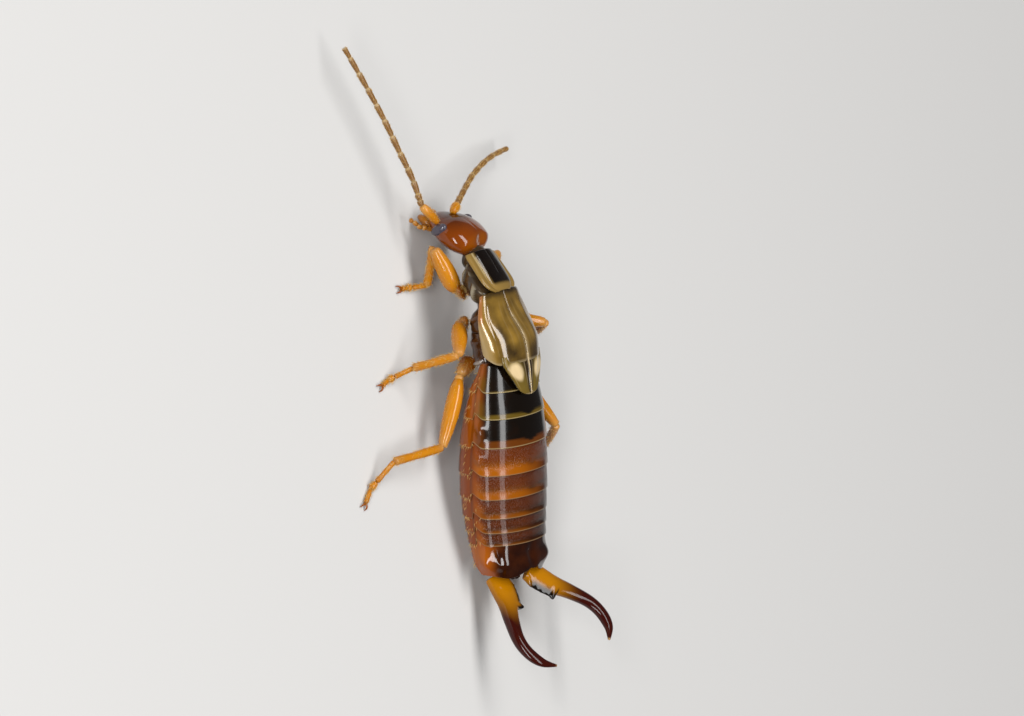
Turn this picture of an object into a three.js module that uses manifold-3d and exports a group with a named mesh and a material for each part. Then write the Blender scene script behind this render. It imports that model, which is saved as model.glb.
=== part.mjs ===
// An adult male common earwig of the short-forceps form, life-size, standing still on the floor.
// Millimetres. +Z is up, the floor is Z = 0, the head points toward -Y and the animal's left is +X.
// The back is arched as in the photograph: the hind body slopes down to the tail with its end
// and the opened forceps lifted, and the forebody and head bend down in front.
import * as THREE from "three";
import { mergeVertices } from "three/addons/utils/BufferGeometryUtils.js";
import Module from "manifold-3d";

const wasm = await Module();
wasm.setup();

// Clearances and least sizes
const GAP = 0.1; // between neighbouring pieces, a thirtieth of the body's width
const SLENDER = 0.25; // least radius of a slender piece away from its tip
const FLOOR_DEPTH = 2; // the block below the floor that trims the feet flat

// Where the body's own middle line sits, and how each stretch is turned (degrees)
const ORIGIN = new THREE.Vector3(-0.63, 3.07, 0); // centres the animal's box over the floor
const ABDOMEN = { at: [0, 0, 1.65], down: -14.5, left: 0, over: 0 };
const THORAX = { at: [0.03, -3.72, 2.52], down: -7, left: 0, over: 2 };
const PROTHORAX = { at: [0.03, -5.37, 2.31], down: 28, left: 1, over: 9 };
const HEAD = { at: [-0.05, -6.93, 1.5], down: 42, left: 15, over: 12 };
const FORCEPS = { at: [0, 4.24, 1.0], down: 31, left: 12, over: 0 };

// Abdomen, along its own axis from A to the tail: half width, height of back, depth of belly,
// and how far the tail end is lifted off the straight axis
const ABDOMEN_STATIONS = [
  { along: -2.8, half: 1.22, top: 0.74, belly: 0.3, lift: 0 },
  { along: -2.05, half: 1.44, top: 0.92, belly: 0.72, lift: 0 },
  { along: -1.0, half: 1.6, top: 1.1, belly: 1.06, lift: 0 },
  { along: 0.3, half: 1.7, top: 1.17, belly: 1.18, lift: 0 },
  { along: 1.4, half: 1.69, top: 1.17, belly: 1.14, lift: 0.01 },
  { along: 2.3, half: 1.62, top: 1.12, belly: 1.02, lift: 0.05 },
  { along: 3.0, half: 1.54, top: 1.07, belly: 0.88, lift: 0.11 },
  { along: 3.6, half: 1.47, top: 1.05, belly: 0.7, lift: 0.16 },
  { along: 4.25, half: 1.22, top: 0.92, belly: 0.42, lift: 0.2 },
];
const RING_EDGES = [-2.8, -2.05, -1.2, -0.27, 0.63, 1.42, 2.06, 2.54, 2.96];
const RING_STEP = 0.05; // how far each ring's rear edge stands over the next ring's front
const LAST_RING_END = 4.02;
const LOBE = { across: 0.84, along: 3.7, up: 0.72, radius: 0.42 };
const PYGIDIUM = { along: 4.08, up: 0.6, half: 0.2, length: 0.24 };

// Thorax below the wing cases
const THORAX_STATIONS = [
  { along: -0.82, half: 0.62, top: 0.1, belly: 0.6 },
  { along: -0.6, half: 0.86, top: 0.18, belly: 0.8 },
  { along: 0.0, half: 0.98, top: 0.28, belly: 0.86 },
  { along: 0.6, half: 1.04, top: 0.4, belly: 0.84 },
  { along: 0.86, half: 1.04, top: 0.44, belly: 0.78 },
];
const THORAX_SPLIT = -0.05; // where the middle thorax ends and the hind thorax begins

// Wing cases and the folded wing tips behind them, over the thorax
const WING_CASE = {
  front: -1.12,
  rear: 1.02,
  thick: 0.43,
  edge: 0.2,
  frontHalf: 0.98,
  rearHalf: 1.36,
  frontTop: 0.54,
  rearTop: 1.02,
  wrap: 84,
  seam: 0.05,
};
const WING_TIP = { front: 1.06, rear: 2.08, half: 0.86, thick: 0.26, top: 1.08, ridge: 0.05 };

// Prothorax and its shield
const PROTHORAX_STATIONS = [
  { along: -0.66, half: 0.48, top: 0.22, belly: 0.45 },
  { along: -0.3, half: 0.68, top: 0.24, belly: 0.62 },
  { along: 0.3, half: 0.74, top: 0.24, belly: 0.66 },
  { along: 0.66, half: 0.6, top: 0.2, belly: 0.52 },
];
const SHIELD = {
  length: 1.5,
  frontHalf: 0.9,
  rearHalf: 0.98,
  thick: 0.22,
  dome: 0.3,
  up: 0.36,
  corner: 0.42,
};

// Head, along its own axis from the nape (+) to the mouth (-)
const HEAD_STATIONS = [
  { along: 0.86, half: 0.42, top: 0.22, belly: 0.26 },
  { along: 0.66, half: 0.82, top: 0.44, belly: 0.46 },
  { along: 0.25, half: 1.02, top: 0.56, belly: 0.55 },
  { along: -0.2, half: 1.0, top: 0.56, belly: 0.54 },
  { along: -0.55, half: 0.78, top: 0.44, belly: 0.46 },
  { along: -0.85, half: 0.52, top: 0.28, belly: 0.34 },
  { along: -1.08, half: 0.34, top: 0.14, belly: 0.2 },
];
const EYE = { across: 0.91, along: -0.35, up: 0.2, radii: [0.16, 0.27, 0.23] };
const NECK = { radius: 0.38, up: -0.04 };
const MANDIBLE = { along: -1.12, down: 0.34, across: 0.2, radii: [0.26, 0.36, 0.2] };
const PALP = { across: 0.55, along: -0.98, down: 0.34, reach: [0.2, -0.42, 0.06], radius: 0.16 };

// Antennae: where the first joint stands on the head and ends, then the path to the tip
const LEFT_PATH = [
  [0.76, -7.56, 1.4],
  [1.29, -8.15, 1.38],
  [1.42, -9.04, 1.34],
  [1.74, -10.0, 1.3],
  [2.12, -11.1, 1.26],
  [2.57, -12.19, 1.22],
  [3.21, -13.61, 1.15],
];
const RIGHT_PATH = [
  [-0.14, -7.72, 1.4],
  [-0.5, -7.93, 1.35],
  [-1.17, -8.3, 1.2],
  [-2.04, -8.72, 1.0],
  [-3.22, -9.09, 0.8],
  [-4.45, -9.24, 0.6],
];
const LEFT_BEADS = [0.24, 0.2, 0.36, 0.46, 0.52, 0.58, 0.56, 0.58, 0.55, 0.53, 0.48, 0.46];
const RIGHT_BEADS = [0.24, 0.2, 0.36, 0.46, 0.52, 0.58, 0.56, 0.58, 0.55, 0.5];
const ANTENNA_BASE_BEADS = 3;
const BEAD_WAIST = 0.82;
const ANTENNA_RADII = [SLENDER, 0.15]; // at the root and at the tip

// Forceps: one branch in its own plane, outward from the middle line and back along it.
// The left branch stands a little farther forward than the right, as the pair is turned on the tail.
const BASE_SKEW = 0.17;
const BRANCH_PATH = [
  [0.67, 0.0],
  [1.0, 0.65],
  [1.46, 1.3],
  [1.83, 1.95],
  [1.9, 2.5],
  [1.72, 3.0],
  [1.31, 3.37],
];
const BRANCH_WIDTHS = [0.44, 0.42, 0.3, 0.24, 0.21, 0.17, 0.07];
const BRANCH_DEPTHS = [0.3, 0.3, 0.26, 0.23, 0.2, 0.16, 0.07];
const FLANGE = { from: 0.12, to: 0.98, thick: 0.26, teeth: 6, tooth: 0.07, hook: 0.13 };

// Legs: joint at the body, then each length with its heading (degrees left of forward) and its rise
const LEGS = {
  left_front: {
    root: [0.3, -5.24, 1.62],
    hip: [0.45, -5.16, 1.38],
    fold: [-0.2, -0.12, -0.24],
    femur: { long: 1.66, heading: 20, rise: -3 },
    tibia: { long: 1.42, heading: -168, rise: -34 },
    foot: [1.56, -5.63],
  },
  right_front: {
    root: [-0.28, -5.24, 1.55],
    hip: [-0.55, -5.2, 1.3],
    femur: { long: 1.55, heading: -55, rise: 8 },
    tibia: { long: 1.35, heading: -125, rise: -46 },
    foot: [-3.1, -5.7],
  },
  left_middle: {
    root: [0.46, -4.1, 1.6],
    hip: [0.72, -4.22, 1.46],
    femur: { long: 1.7, heading: 128, rise: 26 },
    tibia: { long: 1.6, heading: 104, rise: -68 },
    foot: [3.42, -2.8],
  },
  right_middle: {
    root: [-0.5, -4.1, 1.6],
    hip: [-0.8, -4.1, 1.5],
    femur: { long: 1.85, heading: -111, rise: 40 },
    tibia: { long: 1.75, heading: -128, rise: -62 },
    foot: [-3.65, -2.3],
  },
  left_hind: {
    root: [0.5, -3.0, 1.5],
    hip: [1.12, -2.56, 1.4],
    femur: { long: 2.45, heading: 150, rise: -7 },
    tibia: { long: 2.03, heading: 91, rise: -11 },
    foot: [5.36, 0.66],
  },
  right_hind: {
    root: [-0.55, -3.0, 1.48],
    hip: [-1.25, -2.5, 1.36],
    femur: { long: 2.72, heading: -151, rise: 12 },
    tibia: { long: 1.98, heading: -138, rise: -54 },
    foot: [-3.15, 2.25],
  },
};
const FEMUR_RADII = [0.17, 0.26, 0.27, 0.23, 0.17];
const FEMUR_FLAT = 0.86; // a femur is a little narrower than it is deep
const TIBIA_RADII = [0.19, SLENDER, SLENDER, SLENDER, 0.2];
const FOOT_HEIGHT = 0.1; // middle of the last foot joint above the floor
const FOOT_RADII = [0.18, 0.19, 0.16, 0.21, 0.15, 0.13];
const CLAW = { length: 0.34, radius: 0.07, spread: 24 };

// Colours
const AMBER = { color: 0xc47a1a, roughness: 0.35, metalness: 0 };
const CHESTNUT = { color: 0x6b2c0c, roughness: 0.2, metalness: 0 };
const DARK_BROWN = { color: 0x2a130a, roughness: 0.2, metalness: 0 };
const OLIVE_GOLD = { color: 0x6f5a2a, roughness: 0.25, metalness: 0 };
const OCHRE = { color: 0xb4741c, roughness: 0.25, metalness: 0 };
const TAN = { color: 0x8a6034, roughness: 0.45, metalness: 0 };
const HEAD_BROWN = { color: 0x8c3c10, roughness: 0.2, metalness: 0 };
const EYE_GREY = { color: 0x1c2026, roughness: 0.25, metalness: 0 };
const MEMBRANE = { color: 0x9a6a34, roughness: 0.5, metalness: 0 };

const animal = new THREE.Group();

const radians = THREE.MathUtils.degToRad;
const { lerp } = THREE.MathUtils;

// Value of a row of numbers at a share of the way along it, on a smooth curve through them.
function smooth(values, share) {
  const last = values.length - 1;
  const place = THREE.MathUtils.clamp(share, 0, 1) * last;
  const i = Math.min(Math.floor(place), last - 1);
  const t = place - i;
  const [a, b, c, d] = [i - 1, i, i + 1, i + 2].map((k) => values[THREE.MathUtils.clamp(k, 0, last)]);
  return b + 0.5 * t * (c - a + t * (2 * a - 5 * b + 4 * c - d + t * (3 * (b - c) + d - a)));
}

// A geometry of plain positions with shared vertices, whose faces look outward.
function closed(geometry) {
  const bare = geometry.clone();
  bare.deleteAttribute("normal");
  bare.deleteAttribute("uv");
  const merged = mergeVertices(bare, 1e-4);
  const { position } = merged.attributes;
  const index = merged.index.array;
  const [a, b, c] = [new THREE.Vector3(), new THREE.Vector3(), new THREE.Vector3()];
  let volume = 0;
  for (let i = 0; i < index.length; i += 3) {
    a.fromBufferAttribute(position, index[i]);
    b.fromBufferAttribute(position, index[i + 1]);
    c.fromBufferAttribute(position, index[i + 2]);
    volume += a.dot(b.cross(c));
  }
  if (volume < 0) {
    for (let i = 0; i < index.length; i += 3) {
      [index[i + 1], index[i + 2]] = [index[i + 2], index[i + 1]];
    }
  }
  return merged;
}

function solid(geometry) {
  const { attributes, index } = closed(geometry);
  const mesh = new wasm.Mesh({
    numProp: 3,
    vertProperties: new Float32Array(attributes.position.array),
    triVerts: new Uint32Array(index.array),
  });
  return new wasm.Manifold(mesh);
}

// The largest closed body of a solid, as a geometry.
function surface(body) {
  const [whole] = body.decompose().sort((p, q) => q.volume() - p.volume());
  const { vertProperties, triVerts } = whole.getMesh();
  const geometry = new THREE.BufferGeometry();
  geometry.setAttribute("position", new THREE.BufferAttribute(vertProperties, 3));
  geometry.setIndex(new THREE.BufferAttribute(triVerts, 1));
  return geometry;
}

function joined(geometries) {
  return geometries.map(solid).reduce((whole, piece) => whole.add(piece));
}

// Everything below the floor is cut away, so a foot ends in a small flat.
function aboveFloor(body) {
  const block = new THREE.BoxGeometry(40, 60, FLOOR_DEPTH);
  block.translate(0, 0, -FLOOR_DEPTH / 2);
  return body.subtract(solid(block));
}

// A closed skin round a row of rings. Each ring has a middle, a side and an up direction, and its
// reach to both sides, upward and downward. The ends close to a point at the first and last ring.
function rounded(rings, sides, boxy = 1) {
  const profile = rings.map((ring, i) => new THREE.Vector2(ring.swell ?? 1, i));
  profile.unshift(new THREE.Vector2(0, -1));
  profile.push(new THREE.Vector2(0, rings.length));
  const geometry = new THREE.LatheGeometry(profile, sides);
  const { position } = geometry.attributes;
  const point = new THREE.Vector3();
  const sharpen = (x) => Math.sign(x) * Math.abs(x) ** boxy;
  for (let i = 0; i < position.count; i += 1) {
    point.fromBufferAttribute(position, i);
    const row = Math.round(point.y);
    const ring = rings[THREE.MathUtils.clamp(row, 0, rings.length - 1)];
    const swell = Math.hypot(point.x, point.z);
    const across = swell > 0 ? swell * sharpen(point.x / swell) : 0;
    const rise = swell > 0 ? swell * sharpen(point.z / swell) : 0;
    point.copy(ring.middle);
    point.addScaledVector(ring.side, across * ring.half);
    point.addScaledVector(ring.up, rise * (rise > 0 ? ring.top : ring.belly));
    position.setXYZ(i, point.x, point.y, point.z);
  }
  return closed(geometry);
}

// Rings of a body stretch, from stations along its own -Y to +Y axis, between two places.
function bodyRings(stations, from, to, count) {
  const column = (key) => stations.map((station) => station[key]);
  const places = column("along");
  const shareAt = (y) => {
    let i = places.findIndex((place) => place >= y);
    i = THREE.MathUtils.clamp(i < 0 ? places.length - 1 : i, 1, places.length - 1);
    return (i - 1 + (y - places[i - 1]) / (places[i] - places[i - 1])) / (places.length - 1);
  };
  return Array.from({ length: count }, (_, i) => {
    const y = lerp(from, to, i / (count - 1));
    const t = shareAt(y);
    return {
      middle: new THREE.Vector3(0, y, stations[0].lift === undefined ? 0 : smooth(column("lift"), t)),
      side: new THREE.Vector3(1, 0, 0),
      up: new THREE.Vector3(0, 0, 1),
      half: smooth(column("half"), t),
      top: smooth(column("top"), t),
      belly: smooth(column("belly"), t),
    };
  });
}

// Rings round a curve, with radii that run smoothly along it and rounded ends.
function limbRings(curve, radii, count, flat = 1, upHint = new THREE.Vector3(0, 0, 1)) {
  const length = curve.getLength();
  return Array.from({ length: count }, (_, i) => {
    const share = (1 - Math.cos((Math.PI * (i + 0.5)) / count)) / 2;
    const radius = smooth(radii, share);
    const fromEnd = Math.min(share, 1 - share) * length;
    const lift = Math.min(1, fromEnd / (0.8 * radius));
    const tangent = curve.getTangentAt(share);
    const hint = Math.abs(tangent.dot(upHint)) > 0.95 ? new THREE.Vector3(0, 1, 0) : upHint;
    const side = new THREE.Vector3().crossVectors(hint, tangent).normalize();
    const up = new THREE.Vector3().crossVectors(tangent, side);
    return {
      middle: curve.getPointAt(share),
      side,
      up,
      half: radius * flat,
      top: radius,
      belly: radius,
      swell: Math.sqrt(1 - (1 - lift) ** 2),
    };
  });
}

const vector = (xyz) => new THREE.Vector3(...xyz);

// A straight limb between two points, drawn back from each end by half the gap.
function limb(from, to, radii, { count = 8, sides = 12, flat = 1, gap = 1.4 * GAP } = {}) {
  const along = to.clone().sub(from).normalize().multiplyScalar(gap / 2);
  const line = new THREE.LineCurve3(from.clone().add(along), to.clone().sub(along));
  return rounded(limbRings(line, radii, count, flat), sides);
}

// The end of a length that leaves a point at a heading left of forward and a rise above level.
function reach(from, { long, heading, rise }) {
  const [turn, lift] = [radians(heading), radians(rise)];
  const level = Math.cos(lift);
  const step = new THREE.Vector3(Math.sin(turn) * level, -Math.cos(turn) * level, Math.sin(lift));
  return from.clone().addScaledVector(step, long);
}

// A frame that stands at a place of the body and is turned with it.
function stretch({ at, down, left, over }) {
  const frame = new THREE.Group();
  frame.position.set(...at);
  frame.rotation.set(radians(down), -radians(over), radians(left), "ZXY");
  animal.add(frame);
  frame.updateMatrixWorld(true);
  return frame;
}

function piece(frame, name, geometry, finish) {
  const mesh = new THREE.Mesh(geometry, new THREE.MeshStandardMaterial(finish));
  mesh.name = name;
  mesh.geometry.computeVertexNormals();
  frame.add(mesh);
  return mesh;
}

function ellipsoid(radii, at, sides = 14) {
  const ball = new THREE.SphereGeometry(1, sides, Math.round(sides * 0.7));
  ball.scale(...radii);
  ball.translate(...at);
  return ball;
}

// Abdomen

function makeAbdomen() {
  const frame = stretch(ABDOMEN);
  RING_EDGES.slice(0, -1).forEach((front, i) => {
    const from = front + GAP / 2;
    const to = RING_EDGES[i + 1] - GAP / 2;
    const rings = bodyRings(ABDOMEN_STATIONS, from, to, 5);
    rings.forEach((ring, k) => {
      const inset = [RING_STEP, RING_STEP * 0.4, 0, 0, RING_STEP * 0.5][k];
      ring.half -= inset;
      ring.top -= inset;
      ring.belly -= inset;
    });
    const finish = i < 4 ? DARK_BROWN : CHESTNUT;
    piece(frame, `abdomen_ring_${i + 1}`, rounded(rings, 26, 0.94), finish);
  });
  const rings = bodyRings(ABDOMEN_STATIONS, RING_EDGES.at(-1) + GAP / 2, LAST_RING_END, 10);
  rings.at(-1).swell = 0.9;
  rings[0].swell = 0.97;
  const lobes = [-1, 1].map((side) =>
    ellipsoid(
      [LOBE.radius * 0.9, LOBE.radius, LOBE.radius * 0.8],
      [side * LOBE.across, LOBE.along, LOBE.up],
    ),
  );
  const nub = ellipsoid(
    [PYGIDIUM.half, PYGIDIUM.length, PYGIDIUM.half],
    [0, PYGIDIUM.along, PYGIDIUM.up],
    10,
  );
  const last = joined([rounded(rings, 26, 0.94), ...lobes, nub]);
  piece(frame, "abdomen_last_tergite", surface(last), CHESTNUT);
}

// Forceps

function branch(side) {
  const skew = -side * BASE_SKEW;
  const points = BRANCH_PATH.map(([out, back]) => new THREE.Vector3(side * out, back + skew, 0));
  const curve = new THREE.CatmullRomCurve3(points, false, "centripetal");
  const rings = limbRings(curve, BRANCH_WIDTHS, 18);
  rings.forEach((ring, i) => {
    const depth = smooth(BRANCH_DEPTHS, (1 - Math.cos((Math.PI * (i + 0.5)) / rings.length)) / 2);
    ring.top = depth;
    ring.belly = depth;
  });
  const toothed = [];
  for (let i = 0; i < FLANGE.teeth; i += 1) {
    const share = i / (FLANGE.teeth - 1);
    const back = lerp(FLANGE.from + 0.12, FLANGE.to, share);
    const out = lerp(0.42, 0.72, share);
    const size = i === FLANGE.teeth - 1 ? FLANGE.hook : FLANGE.tooth;
    toothed.push(ellipsoid([size * 1.4, size, FLANGE.thick / 2], [side * out, back + skew, 0], 8));
  }
  const plate = new THREE.Shape([
    new THREE.Vector2(0.62, FLANGE.from),
    new THREE.Vector2(0.44, FLANGE.from + 0.1),
    new THREE.Vector2(0.6, FLANGE.to + 0.04),
    new THREE.Vector2(0.95, FLANGE.to - 0.02),
  ]);
  const sheet = new THREE.ExtrudeGeometry(plate, { depth: FLANGE.thick, bevelEnabled: false });
  sheet.translate(0, 0, -FLANGE.thick / 2);
  sheet.scale(side, 1, 1);
  sheet.translate(0, skew, 0);
  return surface(joined([rounded(rings, 12), sheet, ...toothed]));
}

function makeForceps() {
  const frame = stretch(FORCEPS);
  piece(frame, "cercus_left", branch(1), OCHRE);
  piece(frame, "cercus_right", branch(-1), OCHRE);
}

// Thorax and wing cases

function makeThorax() {
  const frame = stretch(THORAX);
  const [front, rear] = [THORAX_STATIONS[0].along, THORAX_STATIONS.at(-1).along];
  const middle = bodyRings(THORAX_STATIONS, front, THORAX_SPLIT - GAP / 2, 7);
  middle[0].swell = 0.92;
  const hind = bodyRings(THORAX_STATIONS, THORAX_SPLIT + GAP / 2, rear, 6);
  piece(frame, "mesothorax", rounded(middle, 22), DARK_BROWN);
  piece(frame, "metathorax", rounded(hind, 22), DARK_BROWN);
  for (const [name, side] of [["left", 1], ["right", -1]]) {
    piece(frame, `wing_case_${name}`, wingCase(side), OLIVE_GOLD);
    piece(frame, `wing_tip_${name}`, wingTip(side), OLIVE_GOLD);
  }
}

// A curved plate: the block's first direction runs across, its second along, its third inward.
function bentPlate(across, along, place) {
  const block = new THREE.BoxGeometry(1, 1, 1, across, along, 1);
  const { position } = block.attributes;
  for (let i = 0; i < position.count; i += 1) {
    const point = place(position.getX(i) + 0.5, position.getY(i) + 0.5, 0.5 - position.getZ(i));
    position.setXYZ(i, point.x, point.y, point.z);
  }
  return closed(block);
}

function wingCase(side) {
  return bentPlate(10, 12, (u, v, inward) => {
    const rear = WING_CASE.rear - 0.28 * u * u;
    const y = lerp(WING_CASE.front + 0.1 * u * u, rear, v);
    const share = (y - WING_CASE.front) / (WING_CASE.rear - WING_CASE.front);
    const round = Math.sqrt(Math.max(0, 1 - Math.max(0, (v - 0.82) / 0.18) ** 2 * 0.3 * u));
    const reachOut = u * round;
    const thick = lerp(WING_CASE.thick, WING_CASE.edge, Math.max(u ** 3, v ** 6));
    const half = lerp(WING_CASE.frontHalf, WING_CASE.rearHalf, smooth([0, 0.75, 1, 0.94], share));
    const top = lerp(WING_CASE.frontTop, WING_CASE.rearTop, smooth([0, 0.5, 0.85, 1], share));
    const angle = radians(WING_CASE.wrap) * reachOut;
    const depth = inward * thick;
    const x = WING_CASE.seam + (half - depth) * Math.sin(angle) ** 0.9;
    return new THREE.Vector3(side * x, y, (top - depth) * Math.cos(angle) ** 0.8);
  });
}

function wingTip(side) {
  return bentPlate(8, 9, (u, v, inward) => {
    const y = lerp(WING_TIP.front, WING_TIP.rear, v);
    const taper = Math.sqrt(Math.max(0.03, 1 - v ** 3));
    const x = WING_CASE.seam + u * WING_TIP.half * taper;
    const ridge = WING_TIP.ridge * Math.exp(-(((u - 0.42) / 0.12) ** 2)) * (1 - v) * (1 - inward);
    const fall = 0.34 * (x / WING_CASE.rearHalf) ** 2;
    const z = WING_TIP.top - 0.06 * v - fall + ridge - inward * WING_TIP.thick * lerp(1, 0.5, v);
    return new THREE.Vector3(side * x, y, z);
  });
}

function makeProthorax() {
  const frame = stretch(PROTHORAX);
  const [front, rear] = [PROTHORAX_STATIONS[0].along, PROTHORAX_STATIONS.at(-1).along];
  const rings = bodyRings(PROTHORAX_STATIONS, front, rear, 8);
  rings[0].swell = 0.9;
  rings.at(-1).swell = 0.9;
  piece(frame, "prothorax", rounded(rings, 20), MEMBRANE);
  const shield = bentPlate(12, 8, (u, v, inward) => {
    const y = lerp(-SHIELD.length / 2, SHIELD.length / 2, v);
    const half = lerp(SHIELD.frontHalf, SHIELD.rearHalf, v);
    const nearRear = Math.max(0, (v - 1 + SHIELD.corner) / SHIELD.corner);
    const nearFront = Math.max(0, (0.12 - v) / 0.12);
    const corner = Math.sqrt(Math.max(0.12, 1 - 0.72 * nearRear ** 3 - 0.12 * nearFront ** 2));
    const across = 2 * u - 1;
    const x = across * half * corner;
    const dome = SHIELD.dome * (1 - Math.abs(across) ** 2.4) * (1 - 0.5 * v ** 2);
    return new THREE.Vector3(x, y, SHIELD.up + dome - inward * SHIELD.thick);
  });
  piece(frame, "pronotum", shield, DARK_BROWN);
  return frame;
}

// Head

function makeHead(prothorax) {
  const frame = stretch(HEAD);
  const [nape, brow] = [HEAD_STATIONS[0].along, HEAD_STATIONS.at(-1).along];
  const forward = [...HEAD_STATIONS].reverse();
  const rings = bodyRings(forward, brow, nape, 16);
  rings[0].swell = 0.8;
  rings.at(-1).swell = 0.85;
  let skull = solid(rounded(rings, 22, 0.95));
  for (const side of [-1, 1]) {
    const orbit = ellipsoid(
      EYE.radii.map((radius) => radius + GAP),
      [side * EYE.across, EYE.along, EYE.up],
      16,
    );
    skull = skull.subtract(solid(orbit));
  }
  piece(frame, "head", surface(skull), HEAD_BROWN);
  for (const [name, side] of [["left", 1], ["right", -1]]) {
    const eye = ellipsoid(EYE.radii, [side * EYE.across, EYE.along, EYE.up], 16);
    piece(frame, `eye_${name}`, closed(eye), EYE_GREY);
    const root = new THREE.Vector3(side * PALP.across, PALP.along, -PALP.down);
    const tip = root.clone().add(new THREE.Vector3(side * PALP.reach[0], PALP.reach[1], PALP.reach[2]));
    const palp = limb(root, tip, [PALP.radius, PALP.radius, 0.12], { count: 7, sides: 8 });
    piece(frame, `palp_${name}`, palp, AMBER);
  }
  const jaws = [-1, 1].map((side) =>
    ellipsoid(MANDIBLE.radii, [side * MANDIBLE.across, MANDIBLE.along, -MANDIBLE.down], 12),
  );
  const chin = ellipsoid([0.36, 0.3, 0.18], [0, MANDIBLE.along + 0.15, -MANDIBLE.down - 0.06], 12);
  const mouth = joined([...jaws, chin]).subtract(skull.translate(0, -GAP / 2, -GAP));
  piece(frame, "mouthparts", surface(mouth.subtract(skull)), CHESTNUT);
  const napeEnd = frame.localToWorld(new THREE.Vector3(0, nape + GAP, NECK.up));
  const collar = prothorax.localToWorld(new THREE.Vector3(0, PROTHORAX_STATIONS[0].along - GAP, -0.1));
  const radii = [NECK.radius * 0.7, NECK.radius, NECK.radius * 0.8];
  piece(animal, "neck", limb(napeEnd, collar, radii, { count: 6, sides: 16, gap: 0.28 }), MEMBRANE);
}

// An antenna: a stout first joint, then beads whose waists mark the joints, along a bent path.
function makeAntenna(name, path, beads) {
  const points = path.map(vector);
  const scape = limb(points[0], points[1], [0.2, SLENDER, SLENDER, 0.2]);
  piece(animal, `antenna_${name}_scape`, scape, AMBER);
  const curve = new THREE.CatmullRomCurve3(points.slice(1), false, "centripetal");
  const total = beads.reduce((sum, bead) => sum + bead, 0);
  const starts = beads.map((_, i) => beads.slice(0, i).reduce((sum, bead) => sum + bead, 0) / total);
  const stretchOf = (from, to, label) => {
    const rings = [];
    for (let i = from; i < to; i += 1) {
      const end = i + 1 < beads.length ? starts[i + 1] : 1;
      [0.08, 0.5, 0.9].forEach((within, k) => {
        const share = lerp(starts[i], end, within);
        const tangent = curve.getTangentAt(share);
        const across = new THREE.Vector3().crossVectors(new THREE.Vector3(0, 0, 1), tangent).normalize();
        const radius = lerp(...ANTENNA_RADII, share) * [BEAD_WAIST, 0.97, 1][k];
        rings.push({
          middle: curve.getPointAt(share),
          side: across,
          up: new THREE.Vector3().crossVectors(tangent, across),
          half: radius,
          top: radius,
          belly: radius,
        });
      });
    }
    rings[0].swell = 0.85;
    rings.at(-1).swell = 0.8;
    piece(animal, `antenna_${name}_${label}`, rounded(rings, 8), TAN);
  };
  stretchOf(0, ANTENNA_BASE_BEADS, "base");
  stretchOf(ANTENNA_BASE_BEADS, beads.length, "flagellum");
}

// Legs

function makeLeg(name, leg) {
  const hip = vector(leg.hip);
  const knee = reach(hip, leg.femur);
  const ankle = reach(knee, leg.tibia);
  const toe = new THREE.Vector3(leg.foot[0], leg.foot[1], FOOT_HEIGHT);
  const coxa = limb(vector(leg.root), hip, [0.2, 0.3, 0.24], { count: 6 });
  piece(animal, `leg_${name}_coxa`, coxa, AMBER);
  const femur = limb(hip, knee, FEMUR_RADII, { count: 9, flat: FEMUR_FLAT });
  piece(animal, `leg_${name}_femur`, femur, AMBER);
  const bend = knee.clone().add(vector(leg.fold ?? [0, 0, 0]));
  piece(animal, `leg_${name}_tibia`, limb(bend, ankle, TIBIA_RADII, { count: 8, sides: 10 }), AMBER);
  const flat = new THREE.Vector3(toe.x - ankle.x, toe.y - ankle.y, 0).normalize();
  const start = ankle.clone().add(toe.clone().sub(ankle).normalize().multiplyScalar(GAP / 2));
  const sole = toe.clone().addScaledVector(flat, -0.5);
  sole.z = FOOT_HEIGHT + 0.06;
  const path = new THREE.CatmullRomCurve3([start, start.clone().lerp(sole, 0.5), sole, toe]);
  const parts = [rounded(limbRings(path, FOOT_RADII, 10), 8)];
  for (const turn of [-1, 1]) {
    const way = flat.clone().applyAxisAngle(new THREE.Vector3(0, 0, 1), turn * radians(CLAW.spread));
    const tip = toe.clone().addScaledVector(way, CLAW.length);
    tip.z = CLAW.radius * 0.5;
    const claw = new THREE.LineCurve3(toe.clone().addScaledVector(flat, -0.08), tip);
    parts.push(rounded(limbRings(claw, [CLAW.radius * 1.3, CLAW.radius, 0.035], 5), 6));
  }
  piece(animal, `leg_${name}_foot`, surface(aboveFloor(joined(parts))), AMBER);
}

makeAbdomen();
makeForceps();
makeThorax();
makeHead(makeProthorax());
makeAntenna("left", LEFT_PATH, LEFT_BEADS);
makeAntenna("right", RIGHT_PATH, RIGHT_BEADS);
Object.entries(LEGS).forEach(([name, leg]) => makeLeg(name, leg));
animal.position.copy(ORIGIN);

const earwig = new THREE.Group();
earwig.add(animal);

export default earwig;
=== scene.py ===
"""A still, life-size common earwig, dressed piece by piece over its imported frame.

Sizes are millimetres in the animal's own frame, where the head points toward -Y, the left side is
+X and the floor is Z = 0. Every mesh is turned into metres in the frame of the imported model.
"""

import logging
import math
from dataclasses import dataclass, field, replace
from enum import Enum

import bmesh
import bpy
import numpy as np
from mathutils import Matrix, Vector


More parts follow.
